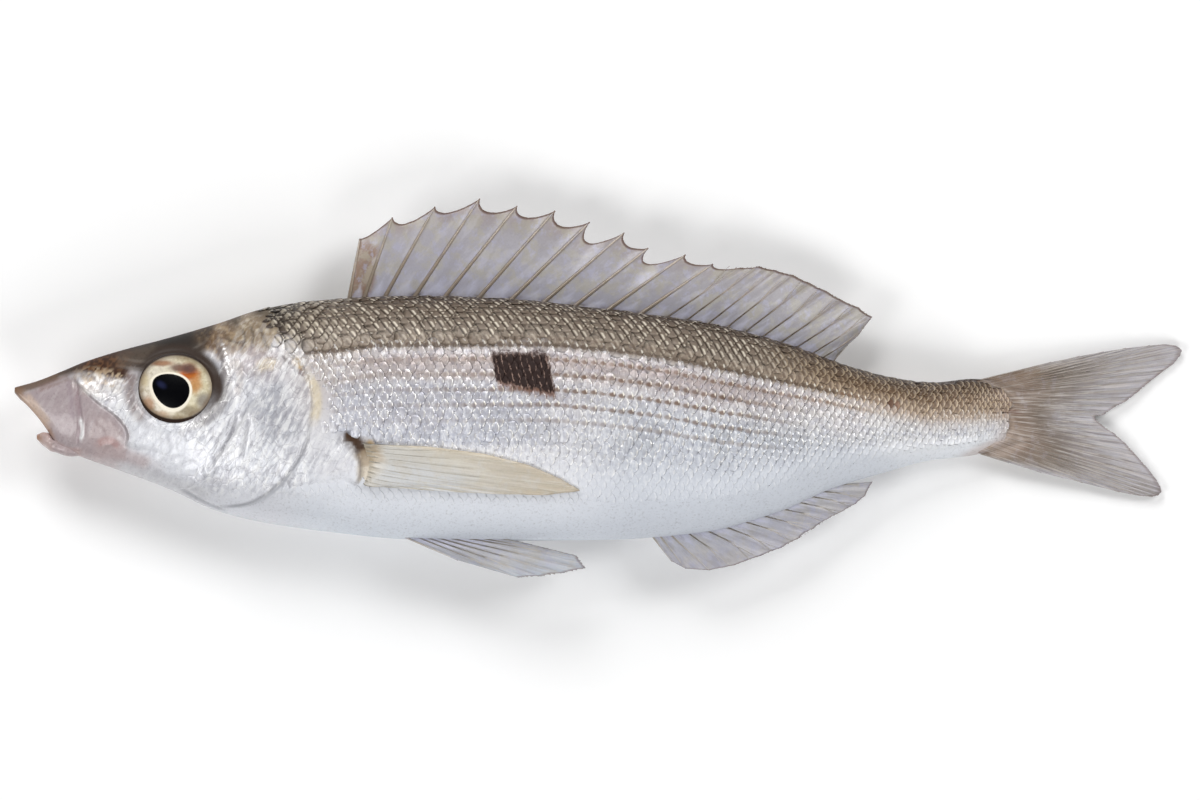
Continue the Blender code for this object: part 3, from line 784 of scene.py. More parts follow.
    # nape: golden brown, then pale gold, with painted shade in its creases
    brush(coat, ((29.2, 10.0), (31.4, 9.0), (33.0, 6.8)), 3.4, 1.6, (104, 78, 53), 0.95,
          metal=0.0, rough=0.5, foil=0.12)
    brush(coat, ((33.0, 10.8), (36.0, 9.6), (39.0, 8.0)), 4.4, 1.8, (146, 126, 100), 0.95,
          metal=0.05, rough=0.45, foil=0.25)
    brush(coat, ((29.4, 9.8), (31.6, 8.6), (33.0, 6.4)), 3.2, 1.0, (184, 160, 126), 0.6, 1.0, 0.42,
          metal=0.15)
    brush(coat, ((33.0, 10.6), (36.0, 9.4), (39.0, 8.0)), 4.2, 1.0, (208, 194, 170), 0.6, 1.0, 0.5,
          metal=0.1)
    brush(coat, ((36.5, 13.0), (40.0, 12.6), (44.0, 13.2)), 2.4, 1.6, (122, 108, 88), 0.6)
    # painted shade along the nape's creases, which the relief also sinks
    for path in napeCreases:
        brush(coat, path, 0.12, 0.28, (92, 78, 62), 0.85)
    brush(coat, ((34.0, 6.4), (37.0, 5.2), (40.0, 5.0)), 2.8, 1.8, (172, 160, 162), 0.8, foil=0.7)
    brush(coat, ((36.6, 4.6), (38.2, 5.4), (39.4, 5.0)), 0.9, 0.8, (214, 196, 150), 0.5)
    # bony ring behind and under the eye
    brush(coat, beadPath, 1.0, 0.7, (196, 190, 188), 0.7, metal=0.3)
    for spot in evenCurve(beadPath, headForm["beadCount"]):
        brush(coat, (tuple(spot),), 0.2, 0.22, (248, 246, 244), 0.9, metal=0.7, rough=0.2)
    inner = [(x - 0.75, y) for x, y in beadPath[:3]]
    brush(coat, inner, 0.35, 0.45, (90, 78, 74), 0.6)
    brush(coat, ((33.2, 6.6), (34.0, 3.4), (33.4, 0.4)), 0.5, 0.6, (222, 212, 204), 0.6)
    brush(coat, ((28.4, -3.9), (30.8, -2.0), (32.6, 0.8)), 0.4, 0.5, (134, 130, 132), 0.45)
    # folds of the cheek: painted shade in each fold, and a painted highlight on the ridge beside it
    for path in cheekCreases:
        brush(coat, path, 0.12, 0.34, (146, 145, 152), 0.75, foil=0.2)
        brush(coat, [(x + 0.6, y) for x, y in path], 0.22, 0.35, (250, 250, 253), 0.9, metal=0.5, foil=0.2)
    brush(coat, ((20.5, -5.0), (23.5, -6.4), (25.5, -9.0)), 2.6, 2.0, (220, 222, 228), 0.7, rough=0.46)
    brush(coat, ((37.0, 2.0), (39.5, -2.5), (40.6, -6.5)), 3.6, 2.4, (178, 180, 188), 0.8)
    brush(coat, ((36.4, -6.0), (37.4, -9.5), (36.4, -12.4)), 2.8, 1.8, (222, 224, 230), 0.6)
    # the gill cover's edge and the strip behind it, painted grey as shade under the cover's edge, and its
    # dark spot
    brush(coat, gillEdge[3:], 0.08, 0.32, (150, 150, 156), 0.7, metal=0.1)
    behindGill = [(x + 0.5, y - 0.1) for x, y in gillEdge]
    brush(coat, behindGill[4:], 0.1, 0.3, (150, 152, 160), 0.5, metal=0.0, foil=0.0)
    brush(coat, ((43.8, 4.2), (45.1, 2.0), (45.5, -0.6), (45.0, -3.4)), 0.6, 0.8, (228, 214, 184), 0.8)
    brush(coat, ((42.8, 4.9), (43.5, 3.6)), 0.35, 0.45, (96, 60, 42), 0.9, metal=0.0)
    brush(coat, ((42.0, 6.3), (43.3, 4.6)), 0.5, 0.5, (200, 170, 120), 0.7)
    brush(coat, ((40.4, 6.6), (41.6, 5.2)), 0.15, 0.3, (110, 98, 98), 0.7)
    # painted shade along the throat's fold
    brush(coat, throatFold, 0.12, 0.4, (150, 152, 160), 0.5)
    # shoulder: the white lobe and the pit behind it, painted brown as shade in the recess
    brush(coat, ((46.6, -6.2), (48.0, -8.6), (48.4, -11.4)), 4.2, 1.8, (224, 224, 229), 0.85,
          metal=0.1, rough=0.4, foil=0.9)
    brush(coat, ((51.8, -6.9), (53.2, -8.6), (53.4, -11.8)), 2.2, 1.1, (160, 138, 106), 0.9, metal=0.0,
          foil=0.0)
    brush(coat, ((53.0, -9.6), (53.2, -11.0), (53.0, -12.6)), 1.8, 1.2, (222, 212, 196), 0.9, metal=0.0,
          foil=0.0)
    brush(coat, ((52.8, -6.4), (54.0, -7.2), (54.2, -8.6)), 0.8, 0.6, (206, 176, 124), 0.8, metal=0.1)
    # the darkest painted shade, at the top of the pit
    brush(coat, ((49.2, -5.4), (51.0, -5.8), (52.4, -7.8)), 1.0, 0.8, (70, 50, 36), 1.0,
          metal=0.0, rough=0.45, foil=0.0)
    # painted shade along the lobe's raised edge
    brush(coat, lobeEdge, 0.12, 0.3, (120, 112, 110), 0.6)
    # the dark wet ring round the eye, its own dark tissue with painted shade of the socket, heaviest above
    # and behind
    ring = eyeRing(along, up)
    heavy = between((along - headForm["eye"][0]) * 0.7 + (up - headForm["eye"][1]), -3.0, 5.0)
    dark = 1 - smoothStep((ring - 1.04 - 0.2 * heavy) / (0.08 + 0.12 * heavy))
    layOn(coat, everywhere, dark * (0.55 + 0.45 * heavy), (58, 45, 37), metal=0.0, rough=0.5, foil=0.0)


def makeLoft(name, form, stops, points, material, lift, coatOf):
    # a closed skin through the sections of a form; stops are the places of its rings
    rings = len(stops)
    angles = 2 * math.pi * (np.arange(points) + 0.5) / points
    along = np.repeat(stops, points)
    angle = np.tile(angles, rings)
    spot = formPoint(form, along, angle)
    spot = spot + formNormal(form, along, angle) * lift(along, spot[:, 1], angle)[:, None]
    coat = coatOf(along, spot[:, 1], angle)
    skin = placed(*spot.T)
    ends = [skin[:points].mean(axis=0), skin[-points:].mean(axis=0)]
    values = coatValues(coat)
    for key, data in values.items():
        values[key] = np.vstack([data, data[:points].mean(axis=0), data[-points:].mean(axis=0)])
    ring, column = np.divmod(np.arange((rings - 1) * points), points)
    after = (column + 1) % points
    faces = np.column_stack([ring * points + column, (ring + 1) * points + column,
                             (ring + 1) * points + after, ring * points + after])
    middle = rings * points
    column = np.arange(points)
    after = (column + 1) % points
    caps = [(middle, int(a), int(b)) for a, b in zip(column, after)]
    caps += [(middle + 1, int(b) + middle - points, int(a) + middle - points) for a, b in zip(column, after)]
    piece = newMesh(name, np.vstack([skin, ends]), faces.tolist() + caps, material, values)
    # the map: length to the right, round the body upwards, with the end caps in the margins
    u = 0.02 + 0.96 * ring / (rings - 1)
    step, v = 0.96 / (rings - 1), np.arange((rings - 1) * points) % points / points
    high = v + 1 / points
    quads = np.stack([columns(u, v), columns(u + step, v), columns(u + step, high), columns(u, high)], axis=1)
    v, high = column / points, (column + 1) / points
    first = np.stack([columns(0.005, (v + high) / 2), columns(0.015, v), columns(0.015, high)], axis=1)
    last = np.stack([columns(0.995, (v + high) / 2), columns(0.985, high), columns(0.985, v)], axis=1)
    setMap(piece.data, np.vstack([quads.reshape(-1, 2), first.reshape(-1, 2), last.reshape(-1, 2)]))
    return piece


# The skin over the body: how deep it lies under the scales, and how finely it is made
skinSize = {
    "bed": 0.17,
    "headStep": 0.26,
    "headEnd": 55.0,
    "headReliefEnd": 58.0,
    "bodyStep": 1.1,
    "pointsRound": 236,
    "jawRings": 70,
    "jawPoints": 72,
}


def depthShare(along, up):
    # how far down the flank a place is, from the lateral line to the belly
    line = lateralAt(along)
    return (line - up) / np.maximum(line - bodyForm[1](along), 0.5)


def scaleBed(along, up):
    # how far the skin lies under the scales that cover it
    start = scaleStart(np.clip(up, -22.0, 16.0))
    covered = between(along, start + 1.2, start + 3.2) * (1 - between(depthShare(along, up), 0.62, 0.97))
    lobe = (1 - between(along, 53.0, 54.6)) * within(up, (-13.2, -12.2), (-5.6, -4.6))
    return skinSize["bed"] * covered * (1 - lobe)


def skinLift(along, up, angle):
    near = along < skinSize["headReliefEnd"]
    lift = np.zeros(len(along))
    lift[near] = headLift(along[near], up[near])
    lift -= scaleBed(along, up)
    # under the chin and over the crown the two sides meet, so relief fades there
    fade = 1 - between(np.abs(np.sin(angle)), 0.965, 0.998)
    lift = lift * fade
    # the mouth, open between the jaws
    mouth = bell(angle, 1.5 * math.pi, 0.42) * within(along, (0.8, 2.2), (4.6, 6.2))
    return lift - headForm["mouthDepth"] * mouth


def skinCoat(along, up, angle):
    coat = newCoat(along, up, sideColour(along, up), 0.08, 0.36, 0.12 * between(along, 40.0, 48.0))
    paintHead(coat)
    everywhere = np.ones(len(along), bool)
    dull = between(depthShare(along, up), 0.5, 0.75) * between(along, 44.0, 52.0)
    layOn(coat, everywhere, dull, rough=0.56, metal=0.0, foil=0.05)
    inside = bell(angle, 1.5 * math.pi, 0.5) * within(along, (0.6, 2.0), (5.0, 6.4))
    layOn(coat, everywhere, inside, (170, 124, 118), metal=0.0, rough=0.3, foil=0.0)
    return coat


skinMaterial = makeSkinMaterial()
headStops = np.arange(0, skinSize["headEnd"], skinSize["headStep"])
headStops = np.concatenate([[0.0, 0.04, 0.13], headStops[1:]])
bodyStops = np.linspace(skinSize["headEnd"], fishSize["fleshLength"],
                        int((fishSize["fleshLength"] - skinSize["headEnd"]) / skinSize["bodyStep"]))
skin = makeLoft("skin", bodyForm, np.concatenate([headStops, bodyStops]), skinSize["pointsRound"],
                skinMaterial, skinLift, skinCoat)
finishPiece(skin, "fish")


# The lower jaw, a small trough whose upper side is the pink floor of the mouth
def jawLift(along, up, angle):
    top = bell(angle, 0.5 * math.pi, 0.6)
    bead = bell(np.sin(angle), 0.75, 0.2) * 0.12
    bump = 0.16 * bell(along, 5.4, 0.5) * bell(angle, 1.5 * math.pi, 0.7)
    under = between(along, 4.9, 6.2) * between(np.sin(angle), -0.97, -0.6)
    return (bead + bump - 0.55 * top) * between(along, 3.4, 4.2) - 1.2 * under


def jawCoat(along, up, angle):
    coat = newCoat(along, up, np.tile(linear(192, 170, 165), (len(along), 1)), 0.04, 0.3, 0.1)
    everywhere = np.ones(len(along), bool)
    layOn(coat, everywhere, 1 - between(along, 3.4, 4.6), (154, 112, 82))
    layOn(coat, everywhere, bell(angle, 0.5 * math.pi, 0.7) * 0.9, (186, 134, 126))
    layOn(coat, everywhere, between(along, 4.9, 6.2), (176, 160, 161), metal=0.05, rough=0.36, foil=0.12)
    return coat


jawStart, jawEnd = jawStations[0][0], jawStations[-1][0]
jawStops = jawStart + (jawEnd - jawStart) * smoothStep(np.linspace(0, 1, skinSize["jawRings"])) ** 0.9
lowerJaw = makeLoft("lowerJaw", jawForm, jawStops, skinSize["jawPoints"], skinMaterial, jawLift, jawCoat)
finishPiece(lowerJaw, "fish")


# Scales: one shape, laid in staggered rows that follow the lateral line
def scaleShape():
    # across from edge to edge, and from the sunk front to the lip at the rear; closed underneath
    stations = ((0.0, -0.16), (0.40, -0.03), (0.70, 0.085), (0.88, 0.135), (0.965, 0.118), (1.0, -0.045))
    across = np.array([-1.0, -0.62, -0.2, 0.2, 0.62, 1.0])
    length, width = scaleSize["length"], scaleSize["width"]
    points, where = [], []
    for share, height in stations:
        for v in across:
            rear = length * (1 - 0.30 * v**2 - 0.14 * v**4)
            front = 0.28 * v**2
            narrow = 1 - 0.18 * (1 - share) ** 2
            sunk = -0.16 if abs(v) == 1 else height * scaleSize["lift"] / 0.135
            sunk -= scaleSize["crown"] * v**2
            points.append((front + (rear - front) * share, v * width / 2 * narrow, sunk))
            where.append((share, v, 0.0))
    count = len(across)
    faces = []
    for row in range(len(stations) - 1):
        for i in range(count - 1):
            here, behind = row * count + i, (row + 1) * count + i
            faces.append((here, behind, behind + 1, here + 1))
    rows = len(stations)
    border = list(range(count)) + [r * count + count - 1 for r in range(1, rows)]
    border += [(rows - 1) * count + i for i in range(count - 2, -1, -1)]
    border += [r * count for r in range(rows - 2, 0, -1)]
    faces.append(tuple(border))
    return np.array(points) * 0.001, faces, where


def scalePlaces():
    # the middle of each scale's sunk end on the left side, with its directions and what it is
    stops = np.linspace(30.0, 150.4, 420)
    angles = np.linspace(-0.5 * math.pi, 0.5 * math.pi, 260)
    factor = scaleFactor(stops)
    pitches = scaleSize["pitch"] * (factor[1:] + factor[:-1]) / 2
    count = np.concatenate([[0], np.cumsum(np.diff(stops) / pitches)])
    arcs = []
    for stop in stops:
        ring = formPoint(bodyForm, np.full(len(angles), stop), angles)
        arcs.append(np.concatenate([[0], np.cumsum(np.linalg.norm(np.diff(ring, axis=0), axis=1))]))
    arcs = np.array(arcs)
    lineAngle = angleAt(stops, lateralAt(stops))
    lineArc = np.array([np.interp(a, angles, arc) for a, arc in zip(lineAngle, arcs)])
    along, angle, row, rearward = [], [], [], []
    for number in range(-scaleSize["rowsUnder"], scaleSize["rowsOver"] + 1):
        wanted = lineArc + number * scaleSize["rowPitch"] * factor
        rowAngle = np.array([np.interp(w, arc, angles) for w, arc in zip(wanted, arcs)])
        fits = (wanted > 0.25) & (wanted < arcs[:, -1] - 0.2)
        phase = 0.5 * (number % 2)
        for tick in np.arange(math.ceil(count[0]), count[-1]) + phase:
            stop = np.interp(tick, count, stops)
            if np.interp(stop, stops, fits.astype(float)) < 0.99:
                continue
            here, next_ = np.interp(stop, stops, rowAngle), np.interp(stop + 0.5, stops, rowAngle)
            along.append(stop)
            angle.append(here)
            row.append(number)
            rearward.append((0.5, next_ - here))
    along, angle, row, rearward = (np.array(a) for a in (along, angle, row, rearward))
    spot = formPoint(bodyForm, along, angle)
    up = spot[:, 1]
    exposed = along + scaleSize["exposed"]
    keep = depthShare(exposed, up) < 0.84 + 0.05 * random.random(len(along))
    keep &= exposed > scaleStart(up) + 0.6 * random.random(len(along))
    lobe = (along < 53.2) & (up < -5.0) & (up > -12.4) & (along > 40.0)
    keep &= ~lobe & (along + 1.35 < fleshEnd(np.clip(up, -9.0, 4.0)))
    keep &= (along < 137.5) | (bodyForm[0](exposed) - up > 0.75)
    along, angle, row, rearward, spot, up = (a[keep] for a in (along, angle, row, rearward, spot, up))
    ahead = formPoint(bodyForm, along + rearward[:, 0], angle + rearward[:, 1])
    here, there = placed(*spot.T), placed(*ahead.T)
    outward = formNormal(bodyForm, along, angle)
    size = scaleFactor(along)
    return {"spot": here, "along": along, "up": up, "row": row, "outward": outward,
            "rearward": unit(there - here), "size": size}


scaleMarks = {
    "stripes": {1: 0.14, 0: 1.0, -2: 0.6, -4: 0.65, -6: 0.65, -8: 0.55, -10: 0.25},  # strength by row
    "lowStripes": -3,
    "tailMark": (131.9, -0.75),
    "tailMarkRadii": (0.8, 0.5),
    "flankSpot": (71.4, 80.8, 1.2, 7.3),  # front, rear, lower and upper edge
    "flankSpotTurn": 76.0,  # where the sloping lower edge is at its given height
}


def scaleNumbers(places):
    # what each scale carries to its material: on the back, stripe, and mark of the tail, which is
    # negative in the dull band under the lateral line; then chance, belly and glint
    along, up, row = places["along"] + 1.4, places["up"], places["row"]
    line = lateralAt(along)
    chance = random.random(len(along))
    onBack = between(up - line, -0.3, 0.3) * (1 - 0.1 * between(along, 120.0, 136.0))
    lowBrown = between(along, 112.0, 130.0) * between(up - line, -2.6, -0.6)
    onBack = np.maximum(onBack, 0.5 * lowBrown)
    stripe = np.array([scaleMarks["stripes"].get(int(r), 0.0) for r in row])
    rearwards = 0.25 + 0.75 * between(along, 58.0, 86.0)
    stripe = stripe * np.where(row == 0, 0.8 + 0.2 * chance, rearwards * (0.6 + 0.4 * chance))
    soon, late = between(along, 106.0, 120.0), between(along, 120.0, 134.0)
    stripe = stripe * (1 - np.where(row < scaleMarks["lowStripes"], soon, late))
    (x, y), (wide, high) = scaleMarks["tailMark"], scaleMarks["tailMarkRadii"]
    mark = np.exp(-(((along - x) / wide) ** 2) - ((up - y) / high) ** 2)
    mark = mark - bell(line - up, 3.0, 1.6) * within(along, (48.0, 54.0), (108.0, 122.0))
    smoothBelly = between(depthShare(along, up), 0.46, 0.74)
    glint = between(softNoise(along * 0.35, up * 0.5, 2), 0.25, 0.75)
    # how the pattern goes: slanted strokes, rounded pale rims, or a dark net
    hatch = between(up - line, 0.2, 2.4) * (1 - between(along, 108.0, 122.0))
    rounded = between(along, 108.0, 122.0)
    netted = (1 - between(along, 44.0, 54.0)) * between(up - line, 0.4, 1.6)
    return columns(onBack, stripe, mark), columns(chance, smoothBelly, glint), columns(hatch, rounded, netted)


def makeScaleMaterial():
    nodes = Nodes("silverScales", **{"Coat Roughness": 0.15, "Specular IOR Level": 0.32})
    base = nodes.colour("paint")
    onBack, stripe, mark = nodes.parts("kind")
    chance, belly, glint = nodes.parts("luck")
    hatch, rounded, netted = nodes.parts("pattern")
    share, across, _ = nodes.parts("onScale")
    grain = nodes.noise(nodes.place(), 3.0, 4.0, 0.6)
    strokes = nodes.noise(nodes.place(2.4, 0.9, 1.0), 1.0, 3.0, 0.6)
    curls = nodes.noise(nodes.place(1.0, 0.9, 1.0), 1.5, 3.0, 0.7)
    darkCurl, paleCurl = nodes.step(1 - curls, 0.5, 0.6), nodes.step(curls, 0.5, 0.6)
    # on the back a pale slanted stroke on each scale, partly its pale tone and partly a painted highlight,
    # with a thin dark line before it, painted shade where the scale ahead overlaps
    wide = across * across
    rearward = wide * 0.13 + share * (1 - wide * 0.43 - wide * wide * 0.14)
    slant = rearward - 0.80 + across * 0.34 + (chance - 0.5) * 0.1
    apart = 1 - nodes.step(abs(across + (chance - 0.5) * 0.2), 0.32, 0.46)
    # the pale stroke: the scale's pale tone with a painted highlight on it
    pale = (1 - nodes.step(abs(slant), 0.02, 0.14)) * apart
    # painted shade: a thin dark line where the scale ahead overlaps this one
    line = 1 - nodes.step(abs(slant + 0.22), 0.02, 0.13)
    force = 0.22 + 0.78 * hatch
    backTone = nodes.tint(base, line * force * 0.85, 54, 42, 32)
    backTone = nodes.tint(backTone, pale * force * (0.45 + 0.55 * chance), 236, 226, 208)
    plain = (1 - hatch) * (1 - rounded) * 0.4
    backTone = nodes.tint(backTone, paleCurl * plain, 188, 177, 160)
    backTone = nodes.tint(backTone, darkCurl * plain, 92, 80, 68)
    beside = (1 - nodes.step(abs(slant + 0.31), 0.02, 0.11)) * nodes.step(abs(across), 0.42, 0.56)
    backTone = nodes.tint(backTone, beside * hatch * (0.25 + 0.45 * chance), 222, 210, 188)
    middle = 1 - nodes.step(abs(share - 0.62) + abs(across) * 0.3, 0.1, 0.3)
    backTone = nodes.tint(backTone, netted * middle * 0.5, 196, 184, 164)
    backTone = nodes.tint(backTone, netted * nodes.step(share, 0.84, 0.93) * 0.7, 66, 54, 44)
    # at the tail each scale has a rounded pale rim and a darker middle
    rim = nodes.step(share, 0.78, 0.90) * (1 - nodes.step(share, 0.96, 1.0))
    core = nodes.step(share, 0.40, 0.55) * (1 - nodes.step(share, 0.66, 0.78))
    backTone = nodes.tint(backTone, rounded * core * 0.45, 92, 74, 58)
    backTone = nodes.tint(backTone, rounded * rim * (0.3 + 0.4 * chance), 208, 186, 154)
    # on the flank short upright strokes, the white ones painted glints, broken bright rims, also painted
    # glints, and bluish curls, fainter on the belly and in the dull band under the lateral line
    dullBand = (0 - mark).clamped()
    bright = 1 - dullBand * 0.55
    bluish = nodes.step(1 - curls, 0.5, 0.62) * (0.34 - 0.3 * belly)
    grey = nodes.step(1 - strokes, 0.5, 0.62) * (0.28 - 0.26 * belly)
    # white upright strokes: painted glints
    white = nodes.step(strokes, 0.52, 0.64) * (0.6 - 0.45 * belly) * bright
    flankTone = nodes.tint(base, bluish, 166, 170, 190)
    flankTone = nodes.tint(flankTone, grey, 158, 152, 156)
    flankTone = nodes.tint(flankTone, white, 252, 252, 254)
    paintedRimGlint = rim * nodes.step(curls, 0.46, 0.60) * (0.95 - 0.8 * belly) * bright
    flankTone = nodes.tint(flankTone, paintedRimGlint, 255, 253, 250)
    flankTone = nodes.tint(flankTone, rounded * core * 0.25 * (1 - belly), 176, 172, 172)
    flankTone = nodes.tint(flankTone, nodes.step(share, 0.955, 0.99) * (0.3 - 0.3 * belly), 150, 143, 143)
    tone = nodes.mix(onBack, flankTone, backTone)
    # the stripes: a small brown dot on each scale of a row, with a painted glint behind it
    dark = nodes.step(stripe, 0.7, 0.85)
    small = 2.25 - dark * 0.45
    dot = 1 - nodes.step(((share - 0.80) * small) ** 2 + (across * small) ** 2, 0.08, 0.6)
    thread = 1 - nodes.step(abs(across), 0.08, 0.5)
    dotTone = nodes.mix(dark, nodes.shade(122, 94, 72), nodes.shade(88, 71, 57))
    tone = nodes.tint(tone, nodes.step(stripe, 0.0, 0.3) * thread * 0.24 * (1 - dark), 168, 146, 132)
    tone = nodes.mix((dot * (stripe * 1.5)).clamped() * (0.9 - 0.25 * dark), tone, dotTone)
    # a painted highlight: a small bright glint near each striped scale's rear edge
    light = 1 - nodes.step(((share - 0.93) * 8.0) ** 2 + ((across - 0.25) * 3.2) ** 2, 0.1, 0.9)
    tone = nodes.tint(tone, light * nodes.step(stripe, 0.05, 0.3) * 0.7, 252, 246, 232)
    tone = nodes.tint(tone, dullBand * 0.62, 206, 193, 189, blend="MULTIPLY")
    # the dark spots of the flank and the tail, brown at their edges; thin pale lines in the first, painted
    # glints
    front, rear, bottom, top = scaleMarks["flankSpot"]
    x, y = nodes.onFish()
    leaning = x + y * 0.2 - top * 0.2 + (strokes - 0.5) * 1.2
    low = y + (x - scaleMarks["flankSpotTurn"]) * 0.2 + (strokes - 0.5) * 2.6
    inside = nodes.step(leaning, front - 0.15, front + 0.25)
    inside = inside * (1 - nodes.step(leaning, rear - 1.25, rear - 0.75))
    inside = inside * (1 - nodes.step(y + (curls - 0.5) * 2.4, top - 0.9, top + 0.4))
    spot = inside * nodes.step(low, bottom + 0.5, bottom + 1.1)
    edge = inside * nodes.step(low, bottom - 0.4, bottom + 0.7)
    tone = nodes.tint(tone, (edge * 0.85).larger(nodes.step(mark, 0.1, 0.5) * 0.8), 124, 84, 62)
    tone = nodes.tint(tone, (spot * 0.97).larger(nodes.step(mark, 0.35, 0.8)), 34, 15, 12)
    # painted glints: thin pale slanted lines across the dark flank spot
    streak = abs(nodes.fraction((x + y * 0.28 + (curls - 0.5) * 0.8) * 1.05) - 0.5)
    thin = (1 - nodes.step(streak, 0.03, 0.14)) * spot * nodes.step(strokes, 0.44, 0.58)
    tone = nodes.tint(tone, thin * 0.6, 182, 152, 138)
    tone = nodes.tint(tone, (grain - 0.45) * (0.15 + 0.35 * onBack), 96, 82, 72, blend="MULTIPLY")
    lowBack = onBack * (1 - hatch) * (1 - rounded) * (1 - netted) * nodes.step(share, 0.86, 0.97)
    tone = nodes.tint(tone, lowBack * 0.3 * (1 - dark), 176, 164, 150)
    shine = (1 - spot) * (1 - dark)
    metal = (0.12 + 0.2 * glint + rim * 0.15) * shine * (1 - 0.8 * belly) * (1 - 0.5 * onBack)
    rough = 0.38 - 0.08 * rim + (grain - 0.5) * 0.2 + spot * 0.25 + onBack * 0.1 + dark * 0.25 + belly * 0.14
    ridges = nodes.noise(nodes.place(3.2, 0.9, 1.0), 1.6, 2.0) * 0.02
    ridges = ridges + grain * 0.012 + curls * (0.05 - 0.04 * belly)
    return nodes.finish(
        Base_Color=tone,
        Metallic=metal.clamped(),
        Roughness=rough.clamped(),
        Coat_Weight=0.28 * shine * (1 - 0.6 * onBack) * (1 - 0.7 * belly),
        Normal=nodes.bump(ridges),
    )


class GeometryTree:
    # a node tree for a modifier, with named inputs
    def __init__(self, name, inputs):
        self.tree = bpy.data.node_groups.new(name, "GeometryNodeTree")
        self.tree.interface.new_socket("Geometry", in_out="INPUT", socket_type="NodeSocketGeometry")
        for key, kind in inputs.items():
            self.tree.interface.new_socket(key, in_out="INPUT", socket_type=kind)
        self.tree.interface.new_socket("Geometry", in_out="OUTPUT", socket_type="NodeSocketGeometry")
        self.start = self.tree.nodes.new("NodeGroupInput")
        self.end = self.tree.nodes.new("NodeGroupOutput")

    def add(self, kind, settings=None, inputs=None, output=0):
        node = self.tree.nodes.new(kind)
        for key, value in (settings or {}).items():
            setattr(node, key, value)
        for key, value in (inputs or {}).items():
            if isinstance(value, bpy.types.NodeSocket):
                self.tree.links.new(value, node.inputs[key])
            else:
                node.inputs[key].default_value = value
        return node.outputs[output]

    def given(self, name):
        return self.start.outputs[name]

    def attribute(self, name, kind):
        return self.add("GeometryNodeInputNamedAttribute", {"data_type": kind}, {"Name": name})

    def close(self, geometry):
        real = self.add("GeometryNodeRealizeInstances", None, {"Geometry": geometry})
        coated = self.add("GeometryNodeSetMaterial", None,
                          {"Geometry": real, "Material": self.given("Material")})
        self.tree.links.new(coated, self.end.inputs["Geometry"])


def runTree(carrier, tree, inputs, name):
    # gives the carrier's modifier its inputs, evaluates it, and keeps the result as a plain mesh
    modifier = carrier.modifiers.new("tree", "NODES")
    modifier.node_group = tree.tree
    named = {item.name: item.identifier for item in tree.tree.interface.items_tree if item.in_out == "INPUT"}
    for key, value in inputs.items():
        modifier[named[key]] = value
    bpy.context.view_layer.update()
    evaluated = carrier.evaluated_get(bpy.context.evaluated_depsgraph_get())
    mesh = bpy.data.meshes.new_from_object(evaluated)
    carrier.modifiers.remove(modifier)
    bpy.data.objects.remove(carrier)
    mesh.name = name
    piece = bpy.data.objects.new(name, mesh)
    bpy.context.scene.collection.objects.link(piece)
    return piece


